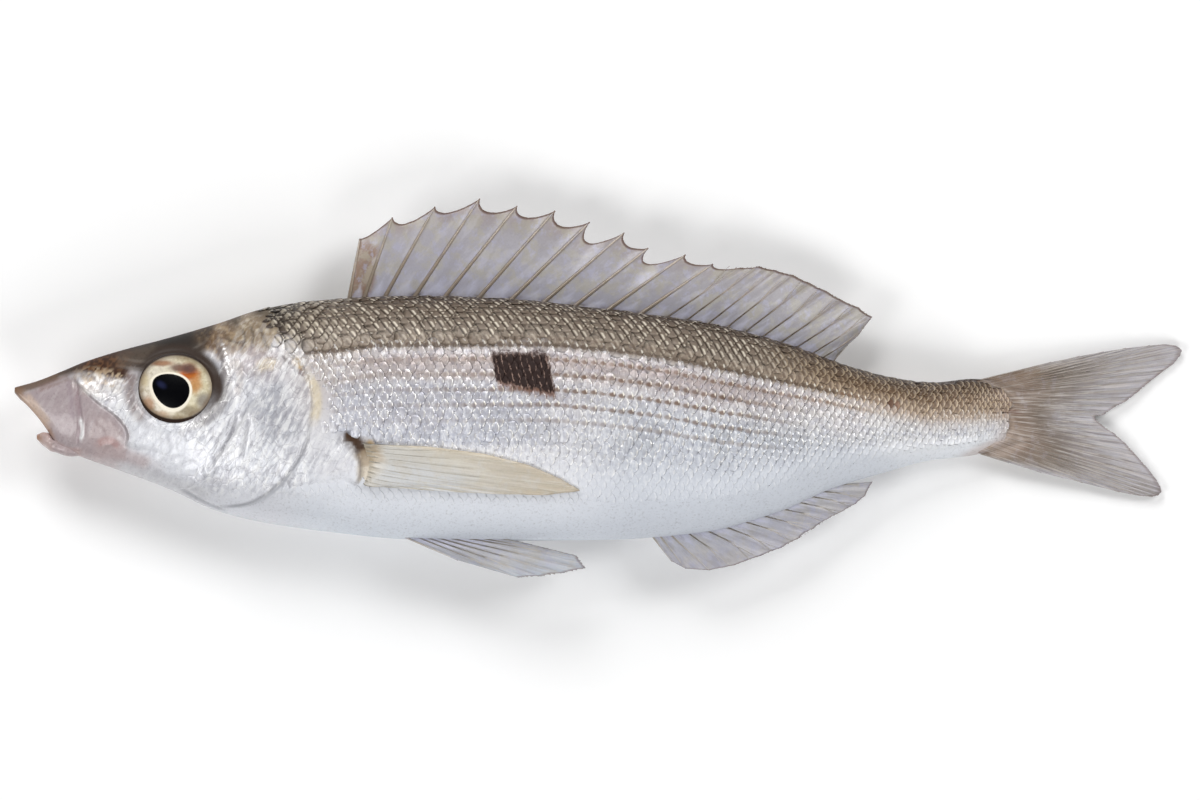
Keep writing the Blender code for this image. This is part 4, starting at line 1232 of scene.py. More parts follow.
def makeScales():
    material = makeScaleMaterial()
    points, faces, where = scaleShape()
    oneScale = newMesh("oneScale", points, faces, material, {"onScale": where})
    places = scalePlaces()
    kind, luck, pattern = scaleNumbers(places)
    size = places["size"]
    # flatter on the back, on the plain part of it most, and at the tail
    rise = 1 - kind[:, 0] * (0.84 - 0.22 * pattern[:, 0])
    rise = rise * (1 - 0.6 * between(places["along"], 132.0, 142.0))
    carrier = newMesh("scaleCarrier", places["spot"], [], material, {
        "outward": places["outward"], "rearward": places["rearward"], "kind": kind, "luck": luck,
        "pattern": pattern, "size": columns(size, size, size * rise),
    })
    tree = GeometryTree("scalesOnFlank", {
        "Scale": "NodeSocketObject", "Tilt": "NodeSocketFloat", "Seed": "NodeSocketInt",
        "Material": "NodeSocketMaterial",
    })
    shape = tree.add("GeometryNodeObjectInfo", None, {"Object": tree.given("Scale")}, output="Geometry")
    stand = tree.add("FunctionNodeAlignRotationToVector", {"axis": "Z"},
                     {"Vector": tree.attribute("outward", "FLOAT_VECTOR")})
    turn = tree.add("FunctionNodeAlignRotationToVector", {"axis": "X", "pivot_axis": "Z"},
                    {"Rotation": stand, "Vector": tree.attribute("rearward", "FLOAT_VECTOR")})
    low = tree.add("ShaderNodeMath", {"operation": "MULTIPLY"}, {0: tree.given("Tilt"), 1: -1.0})
    least, most = (tree.add("ShaderNodeCombineXYZ", None, {0: tilt, 1: tilt, 2: tilt})
                   for tilt in (low, tree.given("Tilt")))
    wobble = tree.add("FunctionNodeRandomValue", {"data_type": "FLOAT_VECTOR"},
                      {0: least, 1: most, "Seed": tree.given("Seed")})
    tilted = tree.add("FunctionNodeRotateRotation", {"rotation_space": "LOCAL"},
                      {0: turn, 1: tree.add("FunctionNodeEulerToRotation", None, {0: wobble})})
    scales = tree.add("GeometryNodeInstanceOnPoints", None, {
        "Points": tree.given("Geometry"), "Instance": shape, "Rotation": tilted,
        "Scale": tree.attribute("size", "FLOAT_VECTOR"),
    })
    tree.close(scales)
    left = runTree(carrier, tree, {
        "Scale": oneScale, "Tilt": math.radians(scaleSize["tilt"]), "Seed": scaleSize["seed"],
        "Material": material,
    }, "scalesLeft")
    bpy.data.objects.remove(oneScale)
    spots = meshPoints(left.data)
    spots[:, 2] = pressed(spots[:, 2])
    along, up = spots[:, 0] * 1000 + fishSize["length"] / 2, spots[:, 1] * 1000 + fishSize["level"]
    # towards the belly the scales lie close on the skin
    where = getValue(left.data, "onScale", 3)
    sink = 0.06 * where[:, 0] - 0.05 * where[:, 1] ** 2 - 0.2 * between(depthShare(along, up), 0.66, 0.9)
    close = placed(*skinPoint(along, up, 1, sink).T)
    spots += (close - spots) * getValue(left.data, "luck", 3)[:, 1:2]
    colour = sideColour(along, up)
    setValue(left.data, "paint", np.column_stack([colour, np.ones(len(along))]))
    # the right side is the left one turned over in the middle plane
    right = left.copy()
    right.data = left.data.copy()
    right.name = right.data.name = "scalesRight"
    bpy.context.scene.collection.objects.link(right)
    mirrored = spots.copy()
    mirrored[:, 2] = pressed(2 * middleHeight(along) * 0.001 - spots[:, 2])
    right.data.vertices.foreach_set("co", mirrored.astype(np.float32).ravel())
    right.data.flip_normals()
    left.data.vertices.foreach_set("co", spots.astype(np.float32).ravel())
    perScale = len(points)
    cells = math.ceil(math.sqrt(len(places["along"])))
    for piece in (left, right):
        mesh = piece.data
        corners = loopPoints(mesh)
        where = getValue(mesh, "onScale", 3)[corners]
        number = corners // perScale
        inset = 0.9 / cells
        u = (number % cells) / cells + (0.05 + 0.9 * where[:, 0]) * inset + 0.05 / cells
        v = (number // cells) / cells + (0.5 + 0.45 * where[:, 1]) * inset + 0.05 / cells
        setMap(mesh, columns(u, v))
        mesh.update()
        finishPiece(piece, "fish")
    print("scales on each side:", len(places["along"]))


makeScales()


# Fins: a thin web with its rays standing on it. Each ray has a root, a tip, and how far the web's edge
# draws in behind it; the roots of the dorsal and the anal fin are given along the body alone.
dorsalRays = (
    (50.0, (51.7, 24.2), 0.5), (52.1, (56.6, 27.4), 1.7), (55.0, (63.0, 29.0), 1.6),
    (59.4, (69.7, 30.2), 1.9), (63.8, (75.3, 29.1), 1.8), (68.8, (81.0, 28.4), 2.1),
    (73.6, (86.2, 26.7), 3.5), (78.4, (91.4, 25.1), 1.4), (83.0, (95.0, 22.8), 3.2),
    (87.9, (100.6, 21.8), 1.2), (92.8, (104.7, 20.4), 0.9), (96.8, (108.9, 19.9), 0.3),
    (99.8, (111.7, 20.1), 0.15), (103.1, (114.2, 19.5), 0.15), (105.9, (116.8, 18.8), 0.1),
    (108.6, (119.3, 17.6), 0.1), (111.2, (121.8, 16.4), 0.1), (114.0, (124.2, 15.0), 0.1),
    (116.3, (126.7, 13.9), 0.15), (118.7, (128.7, 12.5), 0.1), (120.3, (126.5, 9.6), 0.1),
    (122.3, (123.9, 7.3), 0.0),
)
analRays = (
    (95.1, (98.5, -24.2), 0.0), (96.2, (100.6, -25.3), 0.0), (97.6, (104.2, -25.55), 0.05),
    (100.0, (108.0, -24.8), 0.1), (102.6, (111.9, -23.4), 0.1), (105.4, (115.0, -22.2), 0.15),
    (108.2, (117.8, -20.7), 0.3), (111.0, (119.9, -19.3), 0.2), (113.9, (122.1, -17.8), 0.15),
    (116.5, (124.3, -16.7), 0.15), (118.3, (126.2, -15.6), 0.1), (119.8, (127.6, -14.4), 0.1),
    (121.0, (128.7, -12.3), 0.0),
)
tailRays = (
    ((141.5, 2.1), (155.7, 5.7), 0.0), ((143.2, 2.4), (160.0, 6.6), 0.0),
    ((143.9, 2.4), (163.6, 7.25), 0.0), ((144.6, 2.3), (167.0, 7.8), 0.0),
    ((145.2, 2.1), (170.6, 8.2), 0.0), ((145.6, 1.95), (172.9, 8.4), 0.0),
    ((145.9, 1.8), (174.5, 8.2), 0.0), ((146.1, 1.7), (175.4, 7.55), 0.0),
    ((146.25, 1.6), (175.2, 6.7), 0.0), ((146.4, 1.5), (174.1, 5.4), 0.05),
    ((146.7, 1.2), (172.3, 4.1), 0.05), ((147.0, 0.9), (170.4, 2.6), 0.05),
    ((147.2, 0.5), (168.8, 1.2), 0.05), ((147.5, 0.1), (167.0, -0.2), 0.1),
    ((147.7, -0.4), (165.2, -1.1), 0.1), ((147.9, -1.0), (163.7, -2.2), 0.1),
    ((148.0, -1.7), (162.2, -2.4), 0.2), ((148.0, -2.4), (163.5, -3.9), 0.15),
    ((147.9, -3.1), (165.2, -5.0), 0.1), ((147.8, -3.6), (167.0, -6.6), 0.1),
    ((147.6, -4.1), (168.6, -8.4), 0.05), ((147.4, -4.6), (170.2, -10.2), 0.05),
    ((147.1, -5.1), (171.6, -12.0), 0.05), ((146.9, -5.4), (172.2, -13.1), 0.0),
    ((146.7, -5.6), (172.35, -13.8), 0.0), ((146.4, -5.9), (171.9, -14.35), 0.0),
    ((146.0, -6.2), (170.9, -14.6), 0.0), ((145.6, -6.5), (168.9, -14.4), 0.0),
    ((145.4, -6.7), (166.0, -13.85), 0.0), ((144.8, -7.0), (160.4, -12.45), 0.0),
    ((144.2, -7.3), (154.2, -10.95), 0.0), ((143.0, -7.4), (149.3, -9.45), 0.0),
)
pectoralRays = (
    ((52.4, -6.5), (62.0, -6.9), 0.0), ((52.6, -7.0), (70.5, -8.0), 0.0),
    ((52.8, -7.6), (77.2, -9.7), 0.0), ((52.9, -8.3), (81.8, -11.7), 0.0),
    ((53.0, -9.1), (84.7, -13.4), 0.1), ((53.0, -9.9), (80.0, -14.0), 0.1),
    ((52.9, -10.7), (73.5, -13.9), 0.1), ((52.8, -11.4), (66.5, -13.6), 0.1),
    ((52.6, -12.0), (60.5, -13.2), 0.1), ((52.4, -12.5), (56.5, -12.9), 0.0),
)
pelvicRays = (
    ((58.2, -20.4), (66.5, -24.0), 0.0), ((60.0, -20.4), (75.6, -26.6), 0.2),
    ((61.2, -20.4), (79.0, -26.4), 0.3), ((62.5, -20.4), (82.4, -25.9), 0.2),
    ((64.0, -20.4), (85.6, -25.2), 0.15), ((65.8, -20.4), (84.3, -23.4), 0.1),
    ((68.0, -20.4), (80.7, -22.5), 0.1), ((71.0, -20.4), (75.5, -21.2), 0.0),
)
finSize = {
    "web": 0.13,
    "dorsalSag": 1.4,
    "dorsalWave": 0.35,
    "analSag": 0.8,
    "analWave": 0.2,
    "tailWave": 0.25,
    "pectoralLift": 0.55,
    "pectoralArch": 0.35,
    "pelvicOut": 1.9,
    "pelvicSpread": 1.6,
    "pelvicFold": 0.7,
    "billow": 0.07,
    "perRay": 12,
    "raySides": 6,
}


def rooted(rays, line, depth):
    return [((along, float(line(along)) + depth), tip, draw) for along, tip, draw in rays]


def uprightFin(sag, wave):
    def place(along, up, share, across, offset, side):
        ripple = wave * share * np.sin(across * 5 * math.pi)
        return placed(along, up, offset - sag * share * share + ripple)

    return place


def fleshHalf(along, up):
    # half the thickness of the body at a place, nothing outside its outline
    back, belly, width = (curve(along) for curve in bodyForm)
    middle = belly + fishSize["widestShare"] * (back - belly)
    share = np.clip((up - middle) / (np.where(up > middle, back, belly) - middle), 0, 1)
    power = fishSize["sectionPower"]
    return width * (1 - share**power) ** (1 / power)


def tailWeb(wave):
    # wraps the end of the flesh behind the scales, and thins out behind it
    def place(along, up, share, across, offset, side):
        ripple = wave * share * np.sin(across * 5 * math.pi)
        fade = 1 - smoothStep((along - 149.6) / 8.5)
        start = fleshEnd(np.clip(up, -9.0, 4.0))
        hidden = 1 - between(along, start - 0.6, start + 0.3)
        wrap = np.maximum((fleshHalf(along, up) + 0.1) * fade - 0.35 * hidden, 0)
        return placed(along, up, side * wrap + offset + ripple)

    return place


def flankFin(side):
    def place(along, up, share, across, offset, face):
        arch = np.sin(math.pi * np.minimum(share * 1.6, 1.0)) * finSize["pectoralArch"]
        root = finSize["pectoralLift"] * (1.3 * smoothStep(share / 0.1) - 0.3)
        lift = np.where(face > 0, root + arch + offset, -0.3)
        return placed(*skinPoint(along, up, side, lift).T)

    return place


def bellyFin(side):
    def place(along, up, share, across, offset, face):
        lean = finSize["pelvicOut"] + finSize["pelvicSpread"] * share * (1 - finSize["pelvicFold"] * across)
        return placed(along, up, side * lean + offset)

    return place


def webGrid(rays, perRay, rows, fray):
    # the web's places: share from root to edge, share across the fin, and share from one ray to the next
    base, edge, across, gap = [], [], [], []
    last = len(rays) - 1
    for i, ((root, tip, draw), (nextRoot, nextTip, _)) in enumerate(zip(rays, rays[1:])):
        for j in range(perRay):
            share = j / perRay
            low = np.array(root) + (np.array(nextRoot) - root) * share
            high = np.array(tip) + (np.array(nextTip) - tip) * share
            inward = (low - high) / np.linalg.norm(low - high)
            ragged = fray * (random.random() - 0.35) * math.sin(math.pi * share)
            base.append(low)
            edge.append(high + inward * (draw * math.sin(math.pi * share**0.88) ** 0.75 + ragged))
            across.append((i + share) / last)
            gap.append(share)
    base.append(np.array(rays[-1][0]))
    edge.append(np.array(rays[-1][1]))
    across.append(1.0)
    gap.append(0.0)
    base, edge, across, gap = (np.array(a) for a in (base, edge, across, gap))
    share = np.repeat(np.linspace(0, 1, rows + 1), len(across))
    across, gap = np.tile(across, rows + 1), np.tile(gap, rows + 1)
    spot = np.tile(base, (rows + 1, 1)) + (np.tile(edge - base, (rows + 1, 1))) * share[:, None]
    return spot, share, across, gap


def makeWeb(name, rays, place, material, coatOf, fray=0.15, ridge=0.0, rows=26):
    perRay = finSize["perRay"]
    spot, share, across, gap = webGrid(rays, perRay, rows, fray)
    wide = (len(rays) - 1) * perRay + 1
    swell = finSize["billow"] * np.sin(2 * math.pi * gap) * share
    half = finSize["web"] / 2 * (1 - 0.5 * share) + np.where(gap == 0, ridge * (1 - 0.7 * share), 0.0)
    skins = [place(spot[:, 0], spot[:, 1], share, across, swell + half * side, side) for side in (1, -1)]
    count = wide * (rows + 1)
    r, c = np.divmod(np.arange(rows * (wide - 1)), wide - 1)
    quad = np.column_stack([r * wide + c, r * wide + c + 1, (r + 1) * wide + c + 1, (r + 1) * wide + c])
    border = list(range(wide)) + [r * wide + wide - 1 for r in range(1, rows + 1)]
    border += [rows * wide + c for c in range(wide - 2, -1, -1)] + [r * wide for r in range(rows - 1, 0, -1)]
    rim = [(a, b, b + count, a + count) for a, b in zip(border, border[1:] + border[:1])]
    faces = quad.tolist() + (quad[:, ::-1] + count).tolist() + [face[::-1] for face in rim]
    coat = coatOf(spot[:, 0], spot[:, 1], share, across, gap)
    values = {key: np.vstack([data, data]) for key, data in coatValues(coat).items()}
    values["onFin"] = np.tile(columns(share, across * (len(rays) - 1), across), (2, 1))
    piece = newMesh(name, np.vstack(skins), faces, material, values)
    tidyNormals(piece)
    return piece


def tidyNormals(piece):
    shell = bmesh.new()
    shell.from_mesh(piece.data)
    bmesh.ops.recalc_face_normals(shell, faces=shell.faces)
    shell.to_mesh(piece.data)
    shell.free()


def rayLines(rays, place, thickRoot, thickTip, splitFrom=0, splitUntil=99, slimFrom=99, steps=18):
    # each ray as a line of points with a thickness; the soft ones split twice towards their tips
    points, edges, thick, shares = [], [], [], []
    last = len(rays) - 1
    for i, (root, tip, _) in enumerate(rays):
        root, tip = np.array(root, float), np.array(tip, float)
        before = np.array(rays[max(i - 1, 0)][1], float)
        after = np.array(rays[min(i + 1, last)][1], float)
        splits = 2 if splitFrom <= i < splitUntil else 0
        slim = 0.45 if i >= slimFrom else 1.0
        for number in range(2**splits):
            path, wide, sharesHere = [], [], []
            for share in np.linspace(0, 1, steps):
                aside = 0.0
                for level in range(splits):
                    start = 0.30 + 0.22 * level
                    sign = 1 if (number >> level) & 1 else -1
                    aside += sign * 0.27 / 2**level * smoothStep((share - start) / (1.0 - start))
                target = tip + (after - tip) * max(aside, 0) + (before - tip) * max(-aside, 0)
                path.append(root + (target - root) * share)
                thinning = 0.72 ** (splits * smoothStep(share))
                wide.append(slim * (thickRoot + (thickTip - thickRoot) * share) * thinning)
                sharesHere.append(share)
            first = len(points)
            points.extend(path)
            thick.extend(wide)
            shares.extend([(s, 0.0, i / last) for s in sharesHere])
            edges.extend((first + k, first + k + 1) for k in range(steps - 1))
    points, shares = np.array(points), np.array(shares)
    level, outside = np.zeros(len(points)), np.ones(len(points))
    spots = place(points[:, 0], points[:, 1], shares[:, 0], shares[:, 2], level, outside)
    return points, spots, edges, np.array(thick), shares


def makeRays(name, lines, material, coatOf):
    points, spots, edges, thick, shares = lines
    coat = coatOf(points[:, 0], points[:, 1], shares[:, 0], shares[:, 2], shares[:, 1])
    values = {**coatValues(coat), "thick": thick, "onFin": shares}
    carrier = newMesh(name + "Carrier", spots, [], material, values)
    carrier.data.edges.add(len(edges))
    carrier.data.edges.foreach_set("vertices", np.array(edges, np.int32).ravel())
    carrier.data.update()
    tree = GeometryTree("finRays", {
        "Thickness": "NodeSocketFloat", "Sides": "NodeSocketInt", "Material": "NodeSocketMaterial",
    })
    curve = tree.add("GeometryNodeMeshToCurve", None, {"Mesh": tree.given("Geometry")})
    ring = tree.add("GeometryNodeCurvePrimitiveCircle", None,
                    {"Resolution": tree.given("Sides"), "Radius": 0.001})
    radius = tree.add("ShaderNodeMath", {"operation": "MULTIPLY"},
                      {0: tree.attribute("thick", "FLOAT"), 1: tree.given("Thickness")})
    tube = tree.add("GeometryNodeCurveToMesh", None,
                    {"Curve": curve, "Profile Curve": ring, "Scale": radius, "Fill Caps": True})
    smooth = tree.add("GeometryNodeSetShadeSmooth", None, {"Geometry": tube, "Shade Smooth": True})
    tree.close(smooth)
    given = {"Thickness": 0.5, "Sides": finSize["raySides"], "Material": material}
    rays = runTree(carrier, tree, given, name)
    tidyNormals(rays)
    spots = meshPoints(rays.data)
    spots[:, 2] = pressed(spots[:, 2])
    rays.data.vertices.foreach_set("co", spots.astype(np.float32).ravel())
    return rays


def makeFinMaterial(name, look):
    # thin wet web: soft patches, fine lines along the rays, painted shade beside each ray,
    # a bluish root and a thin dark edge
    nodes = Nodes(name, **{"Coat Roughness": 0.18, "Specular IOR Level": 0.45})
    base = nodes.colour("paint")
    share, ray, _ = nodes.parts("onFin")
    metal, rough, _ = nodes.parts("finish")
    nearRay = abs(nodes.fraction(ray) - 0.5) * 2
    cloud = nodes.noise(nodes.place(), 0.42, 3.0, 0.65)
    second = nodes.noise(nodes.place(1.0, 0.8, 1.0), 0.7, 3.0, 0.65)
    grain = nodes.noise(nodes.place(), 3.5, 4.0, 0.7)
    lines = nodes.noise(nodes.vector(ray * look["lines"], share * 3.0), 1.0, 3.0, 0.6)
    tone = nodes.tint(base, nodes.step(cloud, 0.46, 0.60) * look["amount"], *look["warm"])
    tone = nodes.tint(tone, nodes.step(second, 0.52, 0.64) * look["amount"], *look["cool"])
    lens = 1 - nodes.step(share + nearRay * 0.3, look["lens"] * 0.55, look["lens"])
    tone = nodes.tint(tone, lens * look["root"], 206, 207, 226)
    # painted shade: a brownish band beside each ray, where it stands on the web
    beside = nodes.step(nearRay, look["near"], look["near"] + 0.08) * (1 - nodes.step(share, 0.3, 1.0) * 0.6)
    tone = nodes.tint(tone, beside * look["beside"], 126, 110, 94)
    tone = nodes.tint(tone, nodes.step(lines, 0.52, 0.62) * look["fine"], *look["lineLight"])
    tone = nodes.tint(tone, nodes.step(1 - lines, 0.52, 0.62) * look["fine"], *look["lineDark"])
    tone = nodes.tint(tone, nodes.step(share, 0.962, 0.99) * look["edge"], 110, 84, 72)
    tone = nodes.tint(tone, (grain - 0.45) * 0.4, 120, 112, 108, blend="MULTIPLY")
    veins = nodes.noise(nodes.place(), 1.1, 3.0) * 0.03 + grain * 0.015 + lines * 0.04
    return nodes.finish(Base_Color=tone, Metallic=metal, Roughness=(rough + (grain - 0.5) * 0.16).clamped(),
                        Coat_Weight=0.2, Normal=nodes.bump(veins))


def finCoat(stops, rearStops=None, washes=()):
    # a coat for a web: colour from root to edge, changing across the fin, with washes laid over it
    def coatOf(along, up, share, across, gap):
        colour = ramp(share, stops)
        if rearStops:
            colour = colour + (ramp(share, rearStops) - colour) * smoothStep(across)[:, None]
        coat = newCoat(along, up, colour, 0.03, 0.38, 0.0)
        for path, width, soft, tone, strength in washes:
            brush(coat, path, width, soft, tone, strength)
        return coat

    return coatOf


def rayCoat(rootTone, tipTone):
    def coatOf(along, up, share, across, gap):
        return newCoat(along, up, ramp(share, ((0.0, rootTone), (1.0, tipTone))), 0.08, 0.3, 0.0)

    return coatOf


finLooks = {
    "spiny": {"amount": 0.55, "warm": (174, 168, 152), "cool": (174, 173, 194), "root": 0.5, "lens": 0.34,
              "beside": 0.75, "near": 0.84, "fine": 0.2, "lines": 2.2, "lineLight": (208, 206, 216),
              "lineDark": (140, 134, 138), "edge": 0.85},
    "soft": {"amount": 0.4, "warm": (180, 175, 166), "cool": (172, 173, 194), "root": 0.7, "lens": 0.5,
             "beside": 0.12, "near": 0.88, "fine": 0.24, "lines": 4.0, "lineLight": (212, 208, 204),
             "lineDark": (136, 128, 124), "edge": 0.5},
    "tail": {"amount": 0.2, "warm": (160, 146, 132), "cool": (186, 182, 192), "root": 0.0, "lens": 0.3,
             "beside": 0.4, "near": 0.8, "fine": 0.5, "lines": 4.5, "lineLight": (210, 203, 198),
             "lineDark": (108, 97, 90), "edge": 0.4},
    "cream": {"amount": 0.25, "warm": (204, 192, 170), "cool": (212, 212, 211), "root": 0.0, "lens": 0.3,
              "beside": 0.04, "near": 0.86, "fine": 0.34, "lines": 4.0, "lineLight": (232, 229, 220),
              "lineDark": (186, 178, 162), "edge": 0.0},
}
finMaterials = {name: makeFinMaterial(name + "FinWeb", look) for name, look in finLooks.items()}

# Colours of each web from root to edge, and the washes over them: path, width, softness, colour and strength
dorsalCoat = finCoat(
    ((0.0, (176, 174, 190)), (0.3, (166, 164, 174)), (0.8, (170, 166, 172)), (1.0, (160, 146, 142))),
    ((0.0, (170, 168, 180)), (0.4, (154, 151, 156)), (1.0, (160, 155, 157))),
    (
        (((49.4, 14.0), (51.6, 18.0), (52.4, 24.5)), 3.4, 1.2, (140, 114, 96), 0.95),
        # painted shade: a dark line along the fin's root, where it meets the back
        (((50.0, 15.2), (62.0, 15.6), (76.0, 14.9), (92.0, 13.0), (104.0, 11.2), (114.0, 9.0), (122.0, 6.1)),
         0.5, 0.5, (72, 56, 46), 0.8),
    ),
)
analCoat = finCoat(((0.0, (206, 208, 216)), (0.5, (182, 182, 192)), (1.0, (176, 174, 184))))
tailCoat = finCoat(
    ((0.0, (176, 156, 140)), (0.18, (134, 113, 97)), (0.4, (122, 109, 98)), (0.7, (164, 160, 163)),
     (1.0, (188, 185, 192))),
    None,
    (
        (((147.4, -1.5), (149.2, -1.7), (151.0, -1.9)), 0.2, 0.4, (124, 88, 74), 0.8),
        (((143.0, 3.2), (149.0, 4.0), (155.0, 5.2)), 1.6, 1.6, (132, 108, 86), 0.7),
        (((146.0, -7.6), (149.0, -6.6), (151.5, -5.0)), 2.0, 1.4, (190, 171, 158), 0.6),
    ),
)
pectoralCoat = finCoat(
    ((0.0, (204, 192, 168)), (0.12, (208, 206, 201)), (0.5, (207, 202, 192)), (1.0, (203, 190, 170))),
    None,
    (
        (((54.0, -13.4), (63.8, -14.2), (74.0, -14.6)), 1.6, 1.4, (222, 222, 224), 0.8),
        (((54.0, -11.4), (61.0, -12.0), (68.0, -12.8)), 2.2, 2.2, (215, 217, 220), 0.75),
        # painted shade on the top of the fin's root, below the pit
        (((53.4, -6.6), (54.0, -7.6), (54.2, -9.6)), 1.1, 1.2, (160, 134, 98), 0.75),
        (((54.8, -6.4), (63.8, -7.1), (72.0, -8.4), (77.6, -9.9)), 0.25, 0.3, (240, 228, 206), 0.6),
    ),
)
pelvicCoat = finCoat(
    ((0.0, (222, 224, 230)), (0.3, (184, 184, 190)), (0.7, (176, 177, 182)), (1.0, (182, 188, 198))),
    None,
    (
        # a painted highlight along the base of the fin
        (((64.0, -20.6), (68.0, -20.4)), 0.6, 0.6, (250, 250, 252), 0.9),
        (((64.8, -21.8), (68.5, -22.8), (72.3, -23.6)), 1.0, 0.9, (146, 146, 152), 0.5),
        # painted shade: a dark line along the fin's upper rear edge
        (((76.0, -21.2), (80.5, -22.4)), 0.2, 0.4, (110, 110, 116), 0.8),
    ),
)


def makeFin(name, word, fin):
    # the web and the rays of one fin; word is added to their names
    material = finMaterials[fin["look"]]
    web = makeWeb(name + "Web" + word, fin["rays"], fin["place"], material, fin["coat"], **fin["web"])
    finishPiece(web, "fish")
    lines = rayLines(fin["rays"], fin.get("rayPlace", fin["place"]), **fin["lines"])
    finishPiece(makeRays(name + "Rays" + word, lines, material, fin["rayCoat"]), "fish")


softCoat = rayCoat((176, 164, 146), (204, 200, 198))
makeFin("dorsalFin", "", {
    "rays": rooted(dorsalRays, bodyForm[0], -0.9),
    "place": uprightFin(finSize["dorsalSag"], finSize["dorsalWave"]),
    "coat": dorsalCoat,
    "web": {"fray": 0.12},
    "lines": {"splitFrom": 11, "thickRoot": 0.74, "thickTip": 0.22, "slimFrom": 11},
    "rayCoat": rayCoat((206, 190, 166), (216, 204, 192)),
    "look": "spiny",
})
makeFin("analFin", "", {
    "rays": rooted(analRays, bodyForm[1], 0.9),
    "place": uprightFin(finSize["analSag"], finSize["analWave"]),
    "coat": analCoat,
    "web": {"fray": 0.12},
    "lines": {"splitFrom": 3, "thickRoot": 0.34, "thickTip": 0.14},
    "rayCoat": softCoat,
    "look": "soft",
})
makeFin("tailFin", "", {
    "rays": tailRays,
    "place": tailWeb(finSize["tailWave"]),
    "rayPlace": uprightFin(0.0, finSize["tailWave"]),
    "coat": tailCoat,
    "web": {"fray": 0.25, "ridge": 0.07, "rows": 64},
    "lines": {"splitFrom": 5, "splitUntil": 28, "thickRoot": 0.34, "thickTip": 0.14},
    "rayCoat": softCoat,
    "look": "tail",
})
for side, word in ((1, "Left"), (-1, "Right")):
    makeFin("pectoralFin", word, {
        "rays": pectoralRays,
        "place": flankFin(side),
        "coat": pectoralCoat,
        "web": {"fray": 0.3},
        "lines": {"thickRoot": 0.17, "thickTip": 0.13},
        "rayCoat": rayCoat((208, 204, 194), (212, 205, 188)),
        "look": "cream",
    })
    makeFin("pelvicFin", word, {
        "rays": pelvicRays,
        "place": bellyFin(side),
        "coat": pelvicCoat,
        "web": {"fray": 0.3},
        "lines": {"splitFrom": 1, "thickRoot": 0.3, "thickTip": 0.14},
        "rayCoat": softCoat,
        "look": "soft",
    })


# Eyes: a wet ball with the iris painted on it
eyeLook = {
    "irisCentre": (24.35, 1.9),
    "irisRadii": (5.5, 4.75),
    "pupilCentre": (23.54, 1.54),
    "pupilRadii": (2.95, 2.45),
    "pupilPoint": 0.2,
    "ringWidth": 0.1,
    "segments": 96,
    "rings": 64,
}


